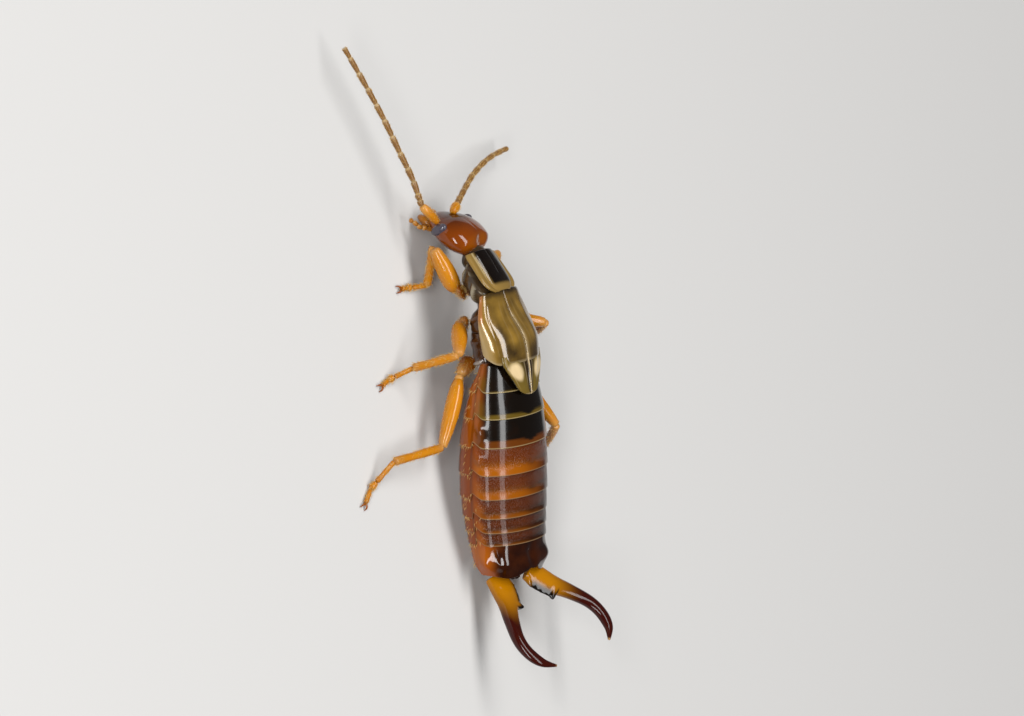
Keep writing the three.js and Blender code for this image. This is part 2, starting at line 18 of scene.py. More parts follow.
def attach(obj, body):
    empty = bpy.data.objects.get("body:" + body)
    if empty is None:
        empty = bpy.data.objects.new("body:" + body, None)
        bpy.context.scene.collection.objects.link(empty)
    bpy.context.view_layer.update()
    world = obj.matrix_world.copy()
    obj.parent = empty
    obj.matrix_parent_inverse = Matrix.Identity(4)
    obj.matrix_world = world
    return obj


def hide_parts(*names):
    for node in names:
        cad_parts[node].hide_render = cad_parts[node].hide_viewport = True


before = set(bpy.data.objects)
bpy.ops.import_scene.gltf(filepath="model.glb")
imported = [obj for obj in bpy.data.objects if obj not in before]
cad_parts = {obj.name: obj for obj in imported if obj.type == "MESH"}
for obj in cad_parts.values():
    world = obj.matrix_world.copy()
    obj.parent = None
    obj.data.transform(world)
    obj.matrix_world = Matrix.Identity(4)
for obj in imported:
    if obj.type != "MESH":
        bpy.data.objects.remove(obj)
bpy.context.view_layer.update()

MM = 0.001
ORIGIN = np.array([-0.63, 3.07, 0.0])
BODY = "root"
LOG = logging.getLogger("earwig")
MARKS = ("tone", "amber", "rim", "grain")
SHORTEST = 1e-12
PATH_STEP = 0.01
STEEP = 0.95
END_ROUNDING = 0.8
COAT_ROUGHNESS = 0.05
SPECULAR_LEVEL = 0.22
UNDER_SCALE = 0.3
WEAR = 0.16
WEAR_SIZE = 0.25
Array = np.ndarray
Point = tuple[float, float, float]


class Side(Enum):
    """The two sides of the animal, by the sign of X."""

    LEFT = 1
    RIGHT = -1

    @property
    def word(self) -> str:
        """Returns the side's name as node names spell it."""
        return self.name.lower()

    @property
    def flip(self) -> Array:
        """Returns what turns points of the left side into this side's."""
        return np.array([self.value, 1, 1])


def ease(low: float, high: float, value: Array | float) -> Array:
    """Rises smoothly from 0 to 1, or falls from 1 to 0 where low is over high.

    Args:
        low: where the value is 0.
        high: where it is 1.
        value: the numbers to read it at.

    Returns:
        One share for each value.
    """
    t = np.clip((np.asarray(value, float) - low) / (high - low), 0, 1)
    return t * t * (3 - 2 * t)


def bump(middle: float | Array, width: float, value: Array | float) -> Array:
    """Returns a bell of height 1 round a middle value."""
    return np.exp(-(((np.asarray(value, float) - middle) / width) ** 2))


def both(middle: float, width: float, angle: Array) -> Array:
    """Returns two bells, round an angle in degrees on the left side and its like on the right."""
    return bump(middle, width, angle) + bump(180 - middle, width, angle)


def flanks(below: float, width: float, angle: Array) -> Array:
    """Returns bells round the left flank, counted from both ends of the turn, and the right one."""
    return bump(-below, width, angle) + bump(360 - below, width, angle) + bump(180 + below, width, angle)


def dome(share: Array, least: float = 0.0) -> Array:
    """Returns the height of a quarter circle at shares from its foot, and never under the least."""
    return np.sqrt(np.clip(1 - (1 - np.clip(share, 0, 1)) ** 2, least, 1))


def crowded(count: int) -> Array:
    """Returns shares from 0 to 1 that stand closer together toward both ends."""
    return (1 - np.cos(np.pi * (np.arange(count) + 0.5) / count)) / 2


def circle(count: int, whole: float = 2 * np.pi) -> Array:
    """Returns even angles round a turn, in radians unless the whole turn is given as 360."""
    return np.linspace(0, whole, count, endpoint=False)


def unit(vectors: Array) -> Array:
    """Returns vectors brought to length 1."""
    return vectors / np.maximum(np.linalg.norm(vectors, axis=-1, keepdims=True), SHORTEST)


def smooth(rows: Array, share: Array) -> Array:
    """Reads rows of numbers on a smooth curve through them.

    Args:
        rows: one row of numbers for each station, evenly spaced in share.
        share: places from 0 to 1.

    Returns:
        One row for each place.
    """
    rows = np.asarray(rows, float)
    last = len(rows) - 1
    place = np.clip(np.asarray(share, float), 0, 1) * last
    i = np.minimum(np.floor(place).astype(int), last - 1)
    t = place - i
    if rows.ndim > 1:
        t = t[..., None]
    a, b, c, d = (rows[np.clip(i + k, 0, last)] for k in (-1, 0, 1, 2))
    return b + 0.5 * t * (c - a + t * (2 * a - 5 * b + 4 * c - d + t * (3 * (b - c) + d - a)))


def trace(path: Array, share: Array) -> tuple[Array, Array, float]:
    """Follows a smooth path by its length.

    Args:
        path: points that it passes.
        share: places from 0 to 1 along its length.

    Returns:
        The points there, the directions ahead of them, and the length of the path.
    """
    path = np.asarray(path, float)
    span = np.concatenate([[0], np.cumsum(np.linalg.norm(np.diff(path, axis=0), axis=1))])
    knots = np.interp(share, span / span[-1], np.linspace(0, 1, len(path)))
    behind, before = (smooth(path, np.clip(knots + step, 0, 1)) for step in (-PATH_STEP, PATH_STEP))
    return smooth(path, knots), unit(before - behind), span[-1]


@dataclass(frozen=True)
class Stand:
    """Where a stretch of the body stands and how it is turned, in millimetres and degrees."""

    at: Point
    down: float
    left: float
    over: float

    def matrix(self) -> Array:
        """Works out the turn.

        Returns:
            A 3 by 3 matrix.
        """
        turn = Matrix.Rotation(math.radians(self.left), 3, "Z")
        turn = turn @ Matrix.Rotation(math.radians(self.down), 3, "X")
        return np.array(turn @ Matrix.Rotation(math.radians(-self.over), 3, "Y"))

    def place(self, points: Array) -> Array:
        """Returns points of this stretch in the animal's frame."""
        return points @ self.matrix().T + np.array(self.at)


@dataclass(frozen=True)
class Profile:
    """A body stretch along its own Y axis, as rows of along, half width, top, belly and lift."""

    rows: tuple[tuple[float, ...], ...]
    boxy: float = 0.94

    def sizes(self, along: Array) -> Array:
        """Reads the rows.

        Args:
            along: places on the axis.

        Returns:
            Half width, top, belly and lift for each place.
        """
        table = np.array(self.rows)
        share = np.interp(along, table[:, 0], np.linspace(0, 1, len(table)))
        return smooth(table[:, 1:], share)

    def skin(self, along: Array, angle: Array, proud: Array | float = 0.0) -> Array:
        """Finds points on the skin.

        Args:
            along: places on the axis.
            angle: degrees round it, 0 at the left side and 90 on the back.
            proud: how far the points stand out from the plain skin.

        Returns:
            One point for each place and angle.
        """
        along, angle, proud = np.broadcast_arrays(along, angle, proud)
        half, top, belly, lift = np.moveaxis(self.sizes(along), -1, 0)
        c, s = np.cos(np.radians(angle)), np.sin(np.radians(angle))
        x = (half + proud) * np.sign(c) * np.abs(c) ** self.boxy
        z = (np.where(s > 0, top, belly) + proud) * np.sign(s) * np.abs(s) ** self.boxy
        return np.stack([x, along, z + lift], axis=-1)


@dataclass
class Surface:
    """A mesh in the making: points in millimetres, faces, and marks that colour them."""

    points: Array
    faces: list[tuple[int, ...]]
    marks: dict[str, Array] = field(default_factory=dict)
    grid: tuple[int, int] = (0, 0)

    def placed(self, stand: Stand) -> "Surface":
        """Returns this surface turned with a stretch of the body."""
        return Surface(stand.place(self.points), self.faces, self.marks, self.grid)

    def joined(self, *others: "Surface") -> "Surface":
        """Joins surfaces, with their marks.

        Args:
            others: the surfaces to add to this one.

        Returns:
            One surface that holds them all.
        """
        parts = [self, *others]
        names = {name for part in parts for name in part.marks}
        faces, start = [], 0
        for part in parts:
            faces += [tuple(i + start for i in face) for face in part.faces]
            start += len(part.points)
        marks = {
            name: np.concatenate([part.marks.get(name, np.zeros(len(part.points))) for part in parts])
            for name in names
        }
        return Surface(np.concatenate([part.points for part in parts]), faces, marks)

    def marked(self, **marks: float | Array) -> "Surface":
        """Returns this surface with more marks, each one number or one for each point."""
        full = {name: np.broadcast_to(value, len(self.points)) for name, value in marks.items()}
        return Surface(self.points, self.faces, {**self.marks, **full}, self.grid)

    def corners(self) -> Array:
        """Returns the four corners of each of the grid's faces."""
        return self.points[np.array(self.faces[: (self.grid[0] - 1) * self.grid[1]])]

    def outward(self) -> Array:
        """Finds which way the skin faces.

        Returns:
            The direction out of the skin at each of its grid's faces.
        """
        n, m = self.grid
        corners = self.corners()
        out = np.cross(corners[:, 1] - corners[:, 0], corners[:, 3] - corners[:, 0])
        out = unit(out + np.cross(corners[:, 3] - corners[:, 2], corners[:, 1] - corners[:, 2]))
        middle = corners.mean(axis=1)
        rings = middle.reshape(n - 1, m, 3).mean(axis=1).repeat(m, axis=0)
        return out * np.sign(((middle - rings) * out).sum(axis=1).mean())


def loft(rings: Array, marks: dict[str, Array]) -> Surface:
    """Closes a skin over a row of rings.

    Args:
        rings: points as rings by places round a ring.
        marks: numbers of the same two counts.

    Returns:
        The skin, with a middle point closing each end.
    """
    n, m = rings.shape[:2]
    faces = [
        (i * m + j, i * m + (j + 1) % m, (i + 1) * m + (j + 1) % m, (i + 1) * m + j)
        for i in range(n - 1)
        for j in range(m)
    ]
    faces += [(n * m, (j + 1) % m, j) for j in range(m)]
    faces += [(n * m + 1, (n - 1) * m + j, (n - 1) * m + (j + 1) % m) for j in range(m)]
    points = np.concatenate([rings.reshape(-1, 3), [rings[0].mean(axis=0)], [rings[-1].mean(axis=0)]])
    flat = {}
    for name, value in marks.items():
        value = np.broadcast_to(value, (n, m))
        flat[name] = np.concatenate([value.ravel(), [value[0].mean()], [value[-1].mean()]])
    return Surface(points, faces, flat, (n, m))


def plate(outer: Array, inner: Array, marks: dict[str, Array]) -> Surface:
    """Closes a thin plate between two like grids of points.

    Args:
        outer: the grid that shows.
        inner: the grid behind it.
        marks: numbers on the grid.

    Returns:
        The plate with its rim.
    """
    n, m = outer.shape[:2]
    back = n * m
    grid = [
        (i * m + j, i * m + j + 1, (i + 1) * m + j + 1, (i + 1) * m + j)
        for i in range(n - 1)
        for j in range(m - 1)
    ]
    faces = grid + [tuple(back + k for k in reversed(face)) for face in grid]
    rim = [*range(m), *(i * m + m - 1 for i in range(1, n))]
    rim += [*((n - 1) * m + j for j in range(m - 2, -1, -1)), *(i * m for i in range(n - 2, 0, -1))]
    faces += [(a, a + back, b + back, b) for a, b in zip(rim, rim[1:] + rim[:1])]
    points = np.concatenate([outer.reshape(-1, 3), inner.reshape(-1, 3)])
    flat = {name: np.tile(np.broadcast_to(value, (n, m)).ravel(), 2) for name, value in marks.items()}
    return Surface(points, faces, flat)


def tube(
    middle: Array, ahead: Array, radius: Array, sides: int, flat: float, marks: dict[str, Array]
) -> Surface:
    """Wraps a round skin about a path.

    Args:
        middle: points on the path.
        ahead: the direction of the path at each.
        radius: the radius at each.
        sides: points round it.
        flat: width over depth of the section.
        marks: numbers for each point of the path.

    Returns:
        The skin.
    """
    level = abs(ahead[len(ahead) // 2][2]) < STEEP
    side = unit(np.cross([0.0, 0.0, 1.0] if level else [0.0, 1.0, 0.0], ahead))
    up = np.cross(ahead, side)
    turn = circle(sides)
    around = np.cos(turn)[:, None] * side[:, None] * flat + np.sin(turn)[:, None] * up[:, None]
    shown = {name: values[:, None] for name, values in marks.items()}
    return loft(middle[:, None] + radius[:, None, None] * around, shown)


def sweep(path: Array, radii: Array, sides: int, rings: int, flat: float = 1.0, **marks: Array) -> Surface:
    """Makes a round limb along a smooth path with rounded ends.

    Args:
        path: points that the middle passes.
        radii: radii spread evenly along it.
        sides: points round it.
        rings: rings along it.
        flat: width over depth of the section.
        marks: rows of numbers spread evenly along it.

    Returns:
        The limb.
    """
    share = crowded(rings)
    middle, ahead, length = trace(path, share)
    radius = smooth(radii, share)
    radius = radius * dome(np.minimum(share, 1 - share) * length / (END_ROUNDING * radius))
    return tube(middle, ahead, radius, sides, flat, {name: smooth(row, share) for name, row in marks.items()})


def ball(radii: Point, at: Point, sides: int = 28) -> Surface:
    """Makes an ellipsoid.

    Args:
        radii: its radii along X, Y and Z.
        at: its middle.
        sides: points round it.

    Returns:
        The ellipsoid, with its poles on Y.
    """
    rise = (np.arange(sides // 2) + 0.5) / (sides // 2) * np.pi
    turn = circle(sides)
    x = np.sin(rise)[:, None] * np.cos(turn)
    y = np.repeat(-np.cos(rise)[:, None], sides, axis=1)
    z = np.sin(rise)[:, None] * np.sin(turn)
    return loft(np.stack([x, y, z], axis=-1) * np.array(radii) + np.array(at), {})


def tint(code: str) -> tuple[float, float, float, float]:
    """Returns a colour written as #RRGGBB the way a shader reads it."""
    parts = [int(code[i : i + 2], 16) / 255 for i in (1, 3, 5)]
    return (*(v / 12.92 if v < 0.04045 else ((v + 0.055) / 1.055) ** 2.4 for v in parts), 1.0)


@dataclass(frozen=True)
class Chitin:
    """A shell finish: what its marks show, and how it shines. Sizes are millimetres."""

    name: str
    slot: str
    light: str
    dark: str
    amber: str = "#B87408"
    rim: str = "#B39C6C"
    roughness: float = 0.22
    coat: float = 0.3
    mottle: float = 0.2
    mottle_size: float = 0.5
    grain_size: float = 0.05
    grain_depth: float = 0.012
    fine: float = 0.12
    metallic: float = 0.0
    under: float = 0.0


BLACK_SHELL = Chitin(
    "black_shell", "shell_dark", "#9A4E0C", "#0D0703", "#5E4A14", "#A8956A", roughness=0.16,
    mottle=0.05, fine=0.06,
)
BANDED_SHELL = replace(BLACK_SHELL, name="black_banded_shell", amber="#5E2F06")
BROWN_SHELL = Chitin(
    "brown_shell", "shell_brown", "#823A04", "#160401", "#985204", "#8A7252", roughness=0.15, coat=0.2,
    grain_size=0.04, grain_depth=0.03,
)
TAIL_SHELL = Chitin("tail_shell", "shell_brown", "#96470A", "#140301", "#A8600A", roughness=0.1, coat=0.4)
LIMB_SHELL = Chitin(
    "leg_shell", "leg_amber", "#C07C14", "#7A3C06", "#A8560C", "#D8B070", mottle_size=0.4, under=0.15
)
# Its rim colour is painted sheen, used on the crests of the first thorax stretch's side folds.
NECK_SKIN = Chitin(
    "neck_skin", "membrane", "#6E5638", "#120C09", "#8A6A3A", "#B5A98F", roughness=0.24, coat=0.4,
    mottle=0.5, mottle_size=0.3,
)
HAIR = Chitin("golden_hair", "leg_amber", "#D8B068", "#8A5A20", roughness=0.4, coat=0.0, fine=0.0)


def feed(node: bpy.types.Node, inputs: dict) -> bpy.types.Node:
    """Sets or links a node's inputs.

    Args:
        node: the node.
        inputs: a number, a colour or another node's socket for each named or counted input.

    Returns:
        The same node.
    """
    for name, value in inputs.items():
        if isinstance(value, bpy.types.NodeSocket):
            node.id_data.links.new(value, node.inputs[name])
        else:
            node.inputs[name].default_value = value
    return node


def add_node(tree: bpy.types.NodeTree, kind: str, inputs: dict, **settings: object) -> bpy.types.Node:
    """Adds one node.

    Args:
        tree: the tree that gets it.
        kind: the node's kind, without the word Shader before it.
        inputs: what goes in, as feed takes it.
        settings: the node's own settings.

    Returns:
        The node.
    """
    node = tree.nodes.new("Shader" + kind)
    for name, value in settings.items():
        setattr(node, name, value)
    return feed(node, inputs)


class Groups:
    """Shader node groups that several finishes share, each built once."""

    @staticmethod
    def start(name: str, inputs: tuple[str, ...], output: str) -> tuple:
        """Opens a new group of plain numbers.

        Args:
            name: the group's name.
            inputs: the sockets going in.
            output: the socket coming out.

        Returns:
            The tree, the sockets going in by name, and the group's output node.
        """
        tree = bpy.data.node_groups.new(name, "ShaderNodeTree")
        for label in inputs:
            tree.interface.new_socket(name=label, in_out="INPUT", socket_type="NodeSocketFloat")
        tree.interface.new_socket(name=output, in_out="OUTPUT", socket_type="NodeSocketFloat")
        return tree, tree.nodes.new("NodeGroupInput").outputs, tree.nodes.new("NodeGroupOutput")

    @staticmethod
    def mottle() -> bpy.types.NodeTree:
        """Breaks up a share with soft cloudy blotches.

        Returns:
            The group, built once.
        """
        name = "cloudy_blotches"
        if name in bpy.data.node_groups:
            return bpy.data.node_groups[name]
        tree, source, sink = Groups.start(name, ("Share", "Amount", "Scale"), "Share")
        place = add_node(tree, "NodeTexCoord", {}).outputs["Object"]
        clouds = {"Vector": place, "Scale": source["Scale"], "Detail": 4}
        noise = add_node(tree, "NodeTexNoise", clouds).outputs["Fac"]
        centred = add_node(tree, "NodeMath", {0: noise, 1: 0.5}, operation="SUBTRACT").outputs[0]
        sums = {0: centred, 1: source["Amount"], 2: source["Share"]}
        blend = add_node(tree, "NodeMath", sums, operation="MULTIPLY_ADD", use_clamp=True)
        feed(sink, {"Share": blend.outputs[0]})
        return tree

    @staticmethod
    def grain() -> bpy.types.NodeTree:
        """Raises rounded grains where masked, over a fine unevenness.

        Returns:
            The group, built once.
        """
        name = "shell_grains"
        if name in bpy.data.node_groups:
            return bpy.data.node_groups[name]
        tree, source, sink = Groups.start(name, ("Mask", "Scale", "Fine"), "Height")
        spread = {"Vector": add_node(tree, "NodeTexCoord", {}).outputs["Object"], "Scale": source["Scale"]}
        cells = add_node(tree, "NodeTexVoronoi", spread).outputs["Distance"]
        fine = add_node(tree, "NodeTexNoise", {**spread, "Detail": 2}).outputs["Fac"]
        grains = add_node(tree, "NodeMath", {0: cells, 1: -1.0, 2: fine}, operation="MULTIPLY_ADD").outputs[0]
        masked = add_node(tree, "NodeMath", {0: grains, 1: source["Mask"]}, operation="MULTIPLY").outputs[0]
        whole = add_node(tree, "NodeMath", {0: fine, 1: source["Fine"], 2: masked}, operation="MULTIPLY_ADD")
        feed(sink, {"Height": whole.outputs[0]})
        return tree


def material_of(finish: Chitin) -> bpy.types.Material:
    """Builds a finish, or returns it if it is there already.

    Args:
        finish: the colours and the shine.

    Returns:
        The material. It reads the marks tone, amber, rim and grain of a mesh.
    """
    if finish.name in bpy.data.materials:
        return bpy.data.materials[finish.name]
    material = bpy.data.materials.new(finish.name)
    material.use_nodes = True
    tree = material.node_tree
    tone, amber, rim, grain = (
        add_node(tree, "NodeAttribute", {}, attribute_name=name).outputs["Fac"] for name in MARKS
    )
    patches = {"Share": tone, "Amount": finish.mottle, "Scale": 1 / (finish.mottle_size * MM)}
    worn = {"Share": finish.roughness, "Amount": WEAR, "Scale": 1 / (WEAR_SIZE * MM)}
    relief = {"Mask": grain, "Scale": 1 / (finish.grain_size * MM), "Fine": finish.fine}
    dark = add_node(tree, "NodeGroup", patches, node_tree=Groups.mottle()).outputs["Share"]
    rough = add_node(tree, "NodeGroup", worn, node_tree=Groups.mottle()).outputs["Share"]
    height = add_node(tree, "NodeGroup", relief, node_tree=Groups.grain()).outputs["Height"]
    bumps = {"Height": height, "Distance": finish.grain_depth * MM}
    colour = tint(finish.light)
    for shade, share in ((finish.dark, dark), (finish.amber, amber), (finish.rim, rim)):
        inputs = {"A": colour, "B": tint(shade), "Factor": share}
        colour = add_node(tree, "NodeMix", inputs, data_type="RGBA").outputs["Result"]
    looks = {
        "Base Color": colour,
        "Roughness": rough,
        "Normal": add_node(tree, "NodeBump", bumps).outputs["Normal"],
        "Metallic": finish.metallic,
        "Coat Weight": finish.coat,
        "Coat Roughness": COAT_ROUGHNESS,
        "Specular IOR Level": SPECULAR_LEVEL,
        "Subsurface Weight": finish.under,
        "Subsurface Scale": UNDER_SCALE * MM,
    }
    feed(tree.nodes["Principled BSDF"], looks)
    return material


def make_piece(name: str, surface: Surface, finish: Chitin, nodes: list[str]) -> bpy.types.Object:
    """Makes one visible piece that stands for some of the frame's nodes.

    Args:
        name: the piece's name.
        surface: its shape in the animal's frame.
        finish: its material.
        nodes: the nodes that it replaces.

    Returns:
        The piece.
    """
    mesh = bpy.data.meshes.new(name)
    mesh.from_pydata(((surface.points + ORIGIN) * MM).tolist(), [], surface.faces)
    shape = bmesh.new()
    shape.from_mesh(mesh)
    bmesh.ops.recalc_face_normals(shape, faces=shape.faces)
    shape.to_mesh(mesh)
    shape.free()
    for label in MARKS:
        values = np.broadcast_to(surface.marks.get(label, 0.0), len(surface.points))
        layer = mesh.attributes.new(label, "FLOAT", "POINT")
        layer.data.foreach_set("value", np.ascontiguousarray(values, dtype=np.float32))
    mesh.shade_smooth()
    mesh.materials.append(material_of(finish))
    piece = bpy.data.objects.new(name, mesh)
    bpy.context.collection.objects.link(piece)
    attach(piece, BODY)
    if nodes:
        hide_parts(*nodes)
    LOG.info("%s: %d faces", name, len(surface.faces))
    return piece


@dataclass(frozen=True)
class Setae:
    """Fine bristles on a skin, each a thin bent cone. Sizes are millimetres."""

    count: int
    length: float
    radius: float
    lean: float
    lie: Point = (0, 1, 0)
    seed: int = 1
    sides: int = 4
    stray: float = 0.25
    lengths: tuple[float, float] = (0.6, 1.15)
    patch: float = 0.0015

    def cones(self, root: Array, out: Array, lie: Array, long: Array) -> Array:
        """Shapes the bristles.

        Args:
            root: where each stands.
            out: the direction out of the skin there.
            lie: the direction that it leans to.
            long: how long each is.

        Returns:
            A ring at the root, a ring at the bend and a tip for each.
        """
        bend = unit(out + self.lean * lie)
        middle = root + 0.5 * long * bend
        tip = middle + 0.5 * long * (bend + 0.6 * self.lean * lie)
        wide = unit(np.cross(out, bend + 1e-6))
        deep = np.cross(wide, bend)
        turn = circle(self.sides)[None, :, None]
        ring = np.cos(turn) * wide[:, None] + np.sin(turn) * deep[:, None]
        low = (root - 0.3 * self.radius * out)[:, None] + self.radius * ring
        high = middle[:, None] + 0.7 * self.radius * ring
        return np.concatenate([low, high, tip[:, None]], axis=1)

    def grow(self, skin: Surface, where: Array | None = None) -> tuple[Surface, Array]:
        """Grows the bristles.

        Args:
            skin: a lofted skin.
            where: how thickly they stand at each face of the skin's grid, or None for evenly.

        Returns:
            The bristles, and each point's place on an unwrap of the skin.
        """
        draw = np.random.default_rng(self.seed)
        n, m = skin.grid
        corners = skin.corners()
        area = np.linalg.norm(np.cross(corners[:, 1] - corners[:, 0], corners[:, 3] - corners[:, 0]), axis=1)
        weight = area if where is None else area * np.clip(where, 0, None)
        face = draw.choice(len(area), self.count, p=weight / weight.sum())
        a, b = draw.random((2, self.count, 1))
        c = corners[face]
        root = (1 - a) * ((1 - b) * c[:, 0] + b * c[:, 1]) + a * (b * c[:, 2] + (1 - b) * c[:, 3])
        out = skin.outward()[face]
        lie = np.array(self.lie, float) + draw.normal(0, self.stray, (self.count, 3))
        lie = unit(lie - (lie * out).sum(axis=1, keepdims=True) * out)
        long = self.length * draw.uniform(*self.lengths, (self.count, 1))
        points = self.cones(root, out, lie, long)
        k = self.sides
        one = [(j, (j + 1) % k, k + (j + 1) % k, k + j) for j in range(k)]
        one += [(k + j, k + (j + 1) % k, 2 * k) for j in range(k)] + [tuple(range(k - 1, -1, -1))]
        step = 2 * k + 1
        faces = [tuple(p + i * step for p in f) for i in range(self.count) for f in one]
        place = np.stack([(face % m + b[:, 0]) / m, (face // m + a[:, 0]) / (n - 1)], axis=1)
        patch = self.patch * np.stack([np.cos(circle(k)), np.sin(circle(k))], axis=1)
        spread = np.concatenate([patch, 0.6 * patch, [[0, 0]]])
        return Surface(points.reshape(-1, 3), faces), (place[:, None] + spread).reshape(-1, 2)


def make_hairs(name: str, coats: list[tuple[Surface, Array]], lowest: float = 0.004) -> bpy.types.Object:
    """Makes one piece of bristles.

    Args:
        name: the piece's name.
        coats: what Setae.grow gives, for one or more skins.
        lowest: how near the floor they may come.

    Returns:
        The piece, with the unwrap map named OFBake.
    """
    whole = coats[0][0].joined(*[coat for coat, _ in coats[1:]])
    whole.points[:, 2] = np.maximum(whole.points[:, 2], lowest)
    piece = make_piece(name, whole, HAIR, [])
    places = np.concatenate([place for _, place in coats])
    layer = piece.data.uv_layers.new(name="OFBake")
    corners = np.empty(len(piece.data.loops), dtype=np.int32)
    piece.data.loops.foreach_get("vertex_index", corners)
    layer.data.foreach_set("uv", places[corners].ravel())
    return piece


@dataclass
class Abdomen:
    """Eight rings of back and belly plates, and the broad last one over the forceps."""

    stand: Stand = Stand((0, 0, 1.65), -14.5, 0, 0)
    profile: Profile = Profile(
        (
            (-2.8, 1.22, 0.74, 0.3, 0),
            (-2.05, 1.44, 0.92, 0.72, 0),
            (-1.0, 1.6, 1.1, 1.06, 0),
            (0.3, 1.7, 1.17, 1.18, 0),
            (1.4, 1.69, 1.17, 1.14, 0.01),
            (2.3, 1.62, 1.12, 1.02, 0.05),
            (3.0, 1.54, 1.07, 0.88, 0.11),
            (3.6, 1.47, 1.05, 0.7, 0.16),
            (4.25, 1.22, 0.92, 0.42, 0.2),
        )
    )
    edges: tuple[float, ...] = (-2.8, -2.05, -1.2, -0.27, 0.63, 1.42, 2.06, 2.54, 2.96)
    darkness: tuple[float, ...] = (1.0, 1.0, 1.0, 0.66, 0.78, 0.84, 0.88, 0.9)
    band: tuple[float, ...] = (0.93, 0.82, 0.74, 0.66, 0.7, 0.82, 0.86, 0.9)
    glow: tuple[float, ...] = (0.6, 0.9, 0.95, 0.9, 0.8, 0.55, 0.45, 0.35)
    black_shells: tuple[Chitin, ...] = (BLACK_SHELL, BLACK_SHELL, BANDED_SHELL)
    stations: tuple[float, ...] = (
        0, 0.1, 0.2, 0.3, 0.4, 0.5, 0.6, 0.7, 0.78, 0.85, 0.9, 0.94, 0.965, 0.98, 1.0,
    )
    fold_rings: tuple[int, int] = (2, 3)
    fold_at: float = 14
    fold_height: float = 0.09
    end: float = 4.0
    around: int = 144
    plate_edge: float = 1
    corner: float = 0.2
    shelf: float = 0.014
    tuck: float = 0.14
    rim: float = 0.022
    knobs: tuple[Point, ...] = ((-0.13, 4.25, 0.5), (0.13, 4.25, 0.5), (0, 4.25, 0.55))
    bristles: Setae = Setae(36, 0.15, 0.007, 1.0, seed=20)

    def dorsal(self, angle: Array) -> Array:
        """Returns how far inside the back plate an angle is, in degrees, negative below it."""
        return np.minimum(angle - self.plate_edge, 180 - self.plate_edge - angle)

    def lag(self, angle: Array) -> Array:
        """Returns how far the rear edge lies ahead at the plate's rounded side corners."""
        inside = self.dorsal(angle)
        return np.where(inside > 0, -self.corner * ease(22, 0, inside) ** 1.5, 0.02)

    def ring(self, i: int) -> Surface:
        """Shapes one ring, tucked under the ring in front of it.

        Args:
            i: the ring, from 0.

        Returns:
            The ring's closed skin with its marks.
        """
        angle = circle(self.around, 360)[None, :]
        lag = self.lag(angle)
        front = self.edges[i] + lag * (i > 0)
        rear = self.edges[i + 1] + lag
        share = np.array(self.stations)[:, None]
        body = front + (rear - front) * share
        along = np.concatenate([front - self.tuck, front - 0.06, body, rear + 0.012, rear, rear - 0.06])
        level = np.concatenate([[-0.07, -0.06], -0.03 + 0.042 * share[:, 0] ** 1.5, [-0.004, -0.03, -0.06]])
        inside = self.dorsal(angle)
        t = np.clip((along - front) / (rear - front), 0, 1)
        proud = level[:, None] + self.shelf * (ease(-1.0, 1.0, inside) - 0.5) + 0.006 * np.sin(np.pi * t)
        if i in self.fold_rings:
            proud = proud + self.fold_height * both(self.fold_at, 7, angle) * bump(0.5, 0.16, t)
        marks = self.ring_marks(i, angle, t)
        marks["rim"] = marks["rim"] * ease(rear - self.rim * 1.3, rear - self.rim * 0.6, along)
        return loft(self.profile.skin(along, angle, proud), marks).placed(self.stand)

    def ring_marks(self, i: int, angle: Array, t: Array) -> dict[str, Array]:
        """Colours one ring, with painted shade darkening the right side of its back.

        Args:
            i: the ring, from 0.
            angle: degrees round it.
            t: shares from its front edge to its rear one.

        Returns:
            The marks, with how much of the rim's colour its rear edge takes.
        """
        inside = self.dorsal(angle)
        brown = float(i >= len(self.black_shells))
        back = ease(0, 24, inside)
        flank = 0.12 + 0.2 * ease(200, 250, angle) * ease(340, 290, angle) + 0.3 * bump(-2, 5, inside)
        deep = self.darkness[i] - 0.22 * brown * bump(0.35, 0.3, t)
        # The 0.2 term is painted shade: the back darkens toward its right side.
        tone = flank * (1 - back) + back * (deep + 0.2 * ease(70, 120, angle))
        start = self.band[i] + 0.1 * bump(90, 7, angle) - 0.04 * bump(50, 20, angle)
        tone = tone + back * 0.25 * brown * bump(start - 0.08, 0.05, t)
        soft = 0.3 * brown
        amber = ease(-2, 14, inside) * self.glow[i] * ease(start - soft, start + 0.07 + soft / 3, t)
        # Painted shade: on the brown rings the amber band fades toward the right side of the back.
        amber = amber * (1 - 0.9 * brown * ease(65, 120, angle))
        amber = np.maximum(amber, 0.5 * bump(12, 9, inside) * ease(0.2, 0.6, t))
        grain = brown * back * ease(0.02, 0.15, t) * ease(0.85, 0.55, t)
        return {"tone": tone, "amber": amber, "rim": 0.4 + 0.3 * back, "grain": grain}

    def last_relief(self, along: Array, angle: Array) -> Array:
        """Raises the last ring's swellings, and sinks its hollows and creases.

        Args:
            along: places on the axis.
            angle: degrees round it.

        Returns:
            How far the skin stands out at each.
        """
        relief = 0.1 * both(48, 15, angle) * bump(3.62, 0.26, along)
        relief = relief - 0.07 * bump(90, 5, angle) * bump(3.5, 0.5, along)
        relief = relief + 0.08 * bump(90, 17, angle) * bump(3.78, 0.14, along)
        relief = relief - 0.06 * bump(90, 30, angle) * bump(3.35, 0.16, along)
        relief = relief + 0.09 * both(self.fold_at, 9, angle) * bump(3.62, 0.22, along)
        wedge = np.maximum(9 * (1 - (along - 2.95) / 0.72), 0.4)
        creases = sum(ease(1.0, 0.55, np.abs(angle - middle) / wedge) for middle in (39, 141))
        return relief - 0.022 * creases * (along < 3.67) * (along > 2.9)

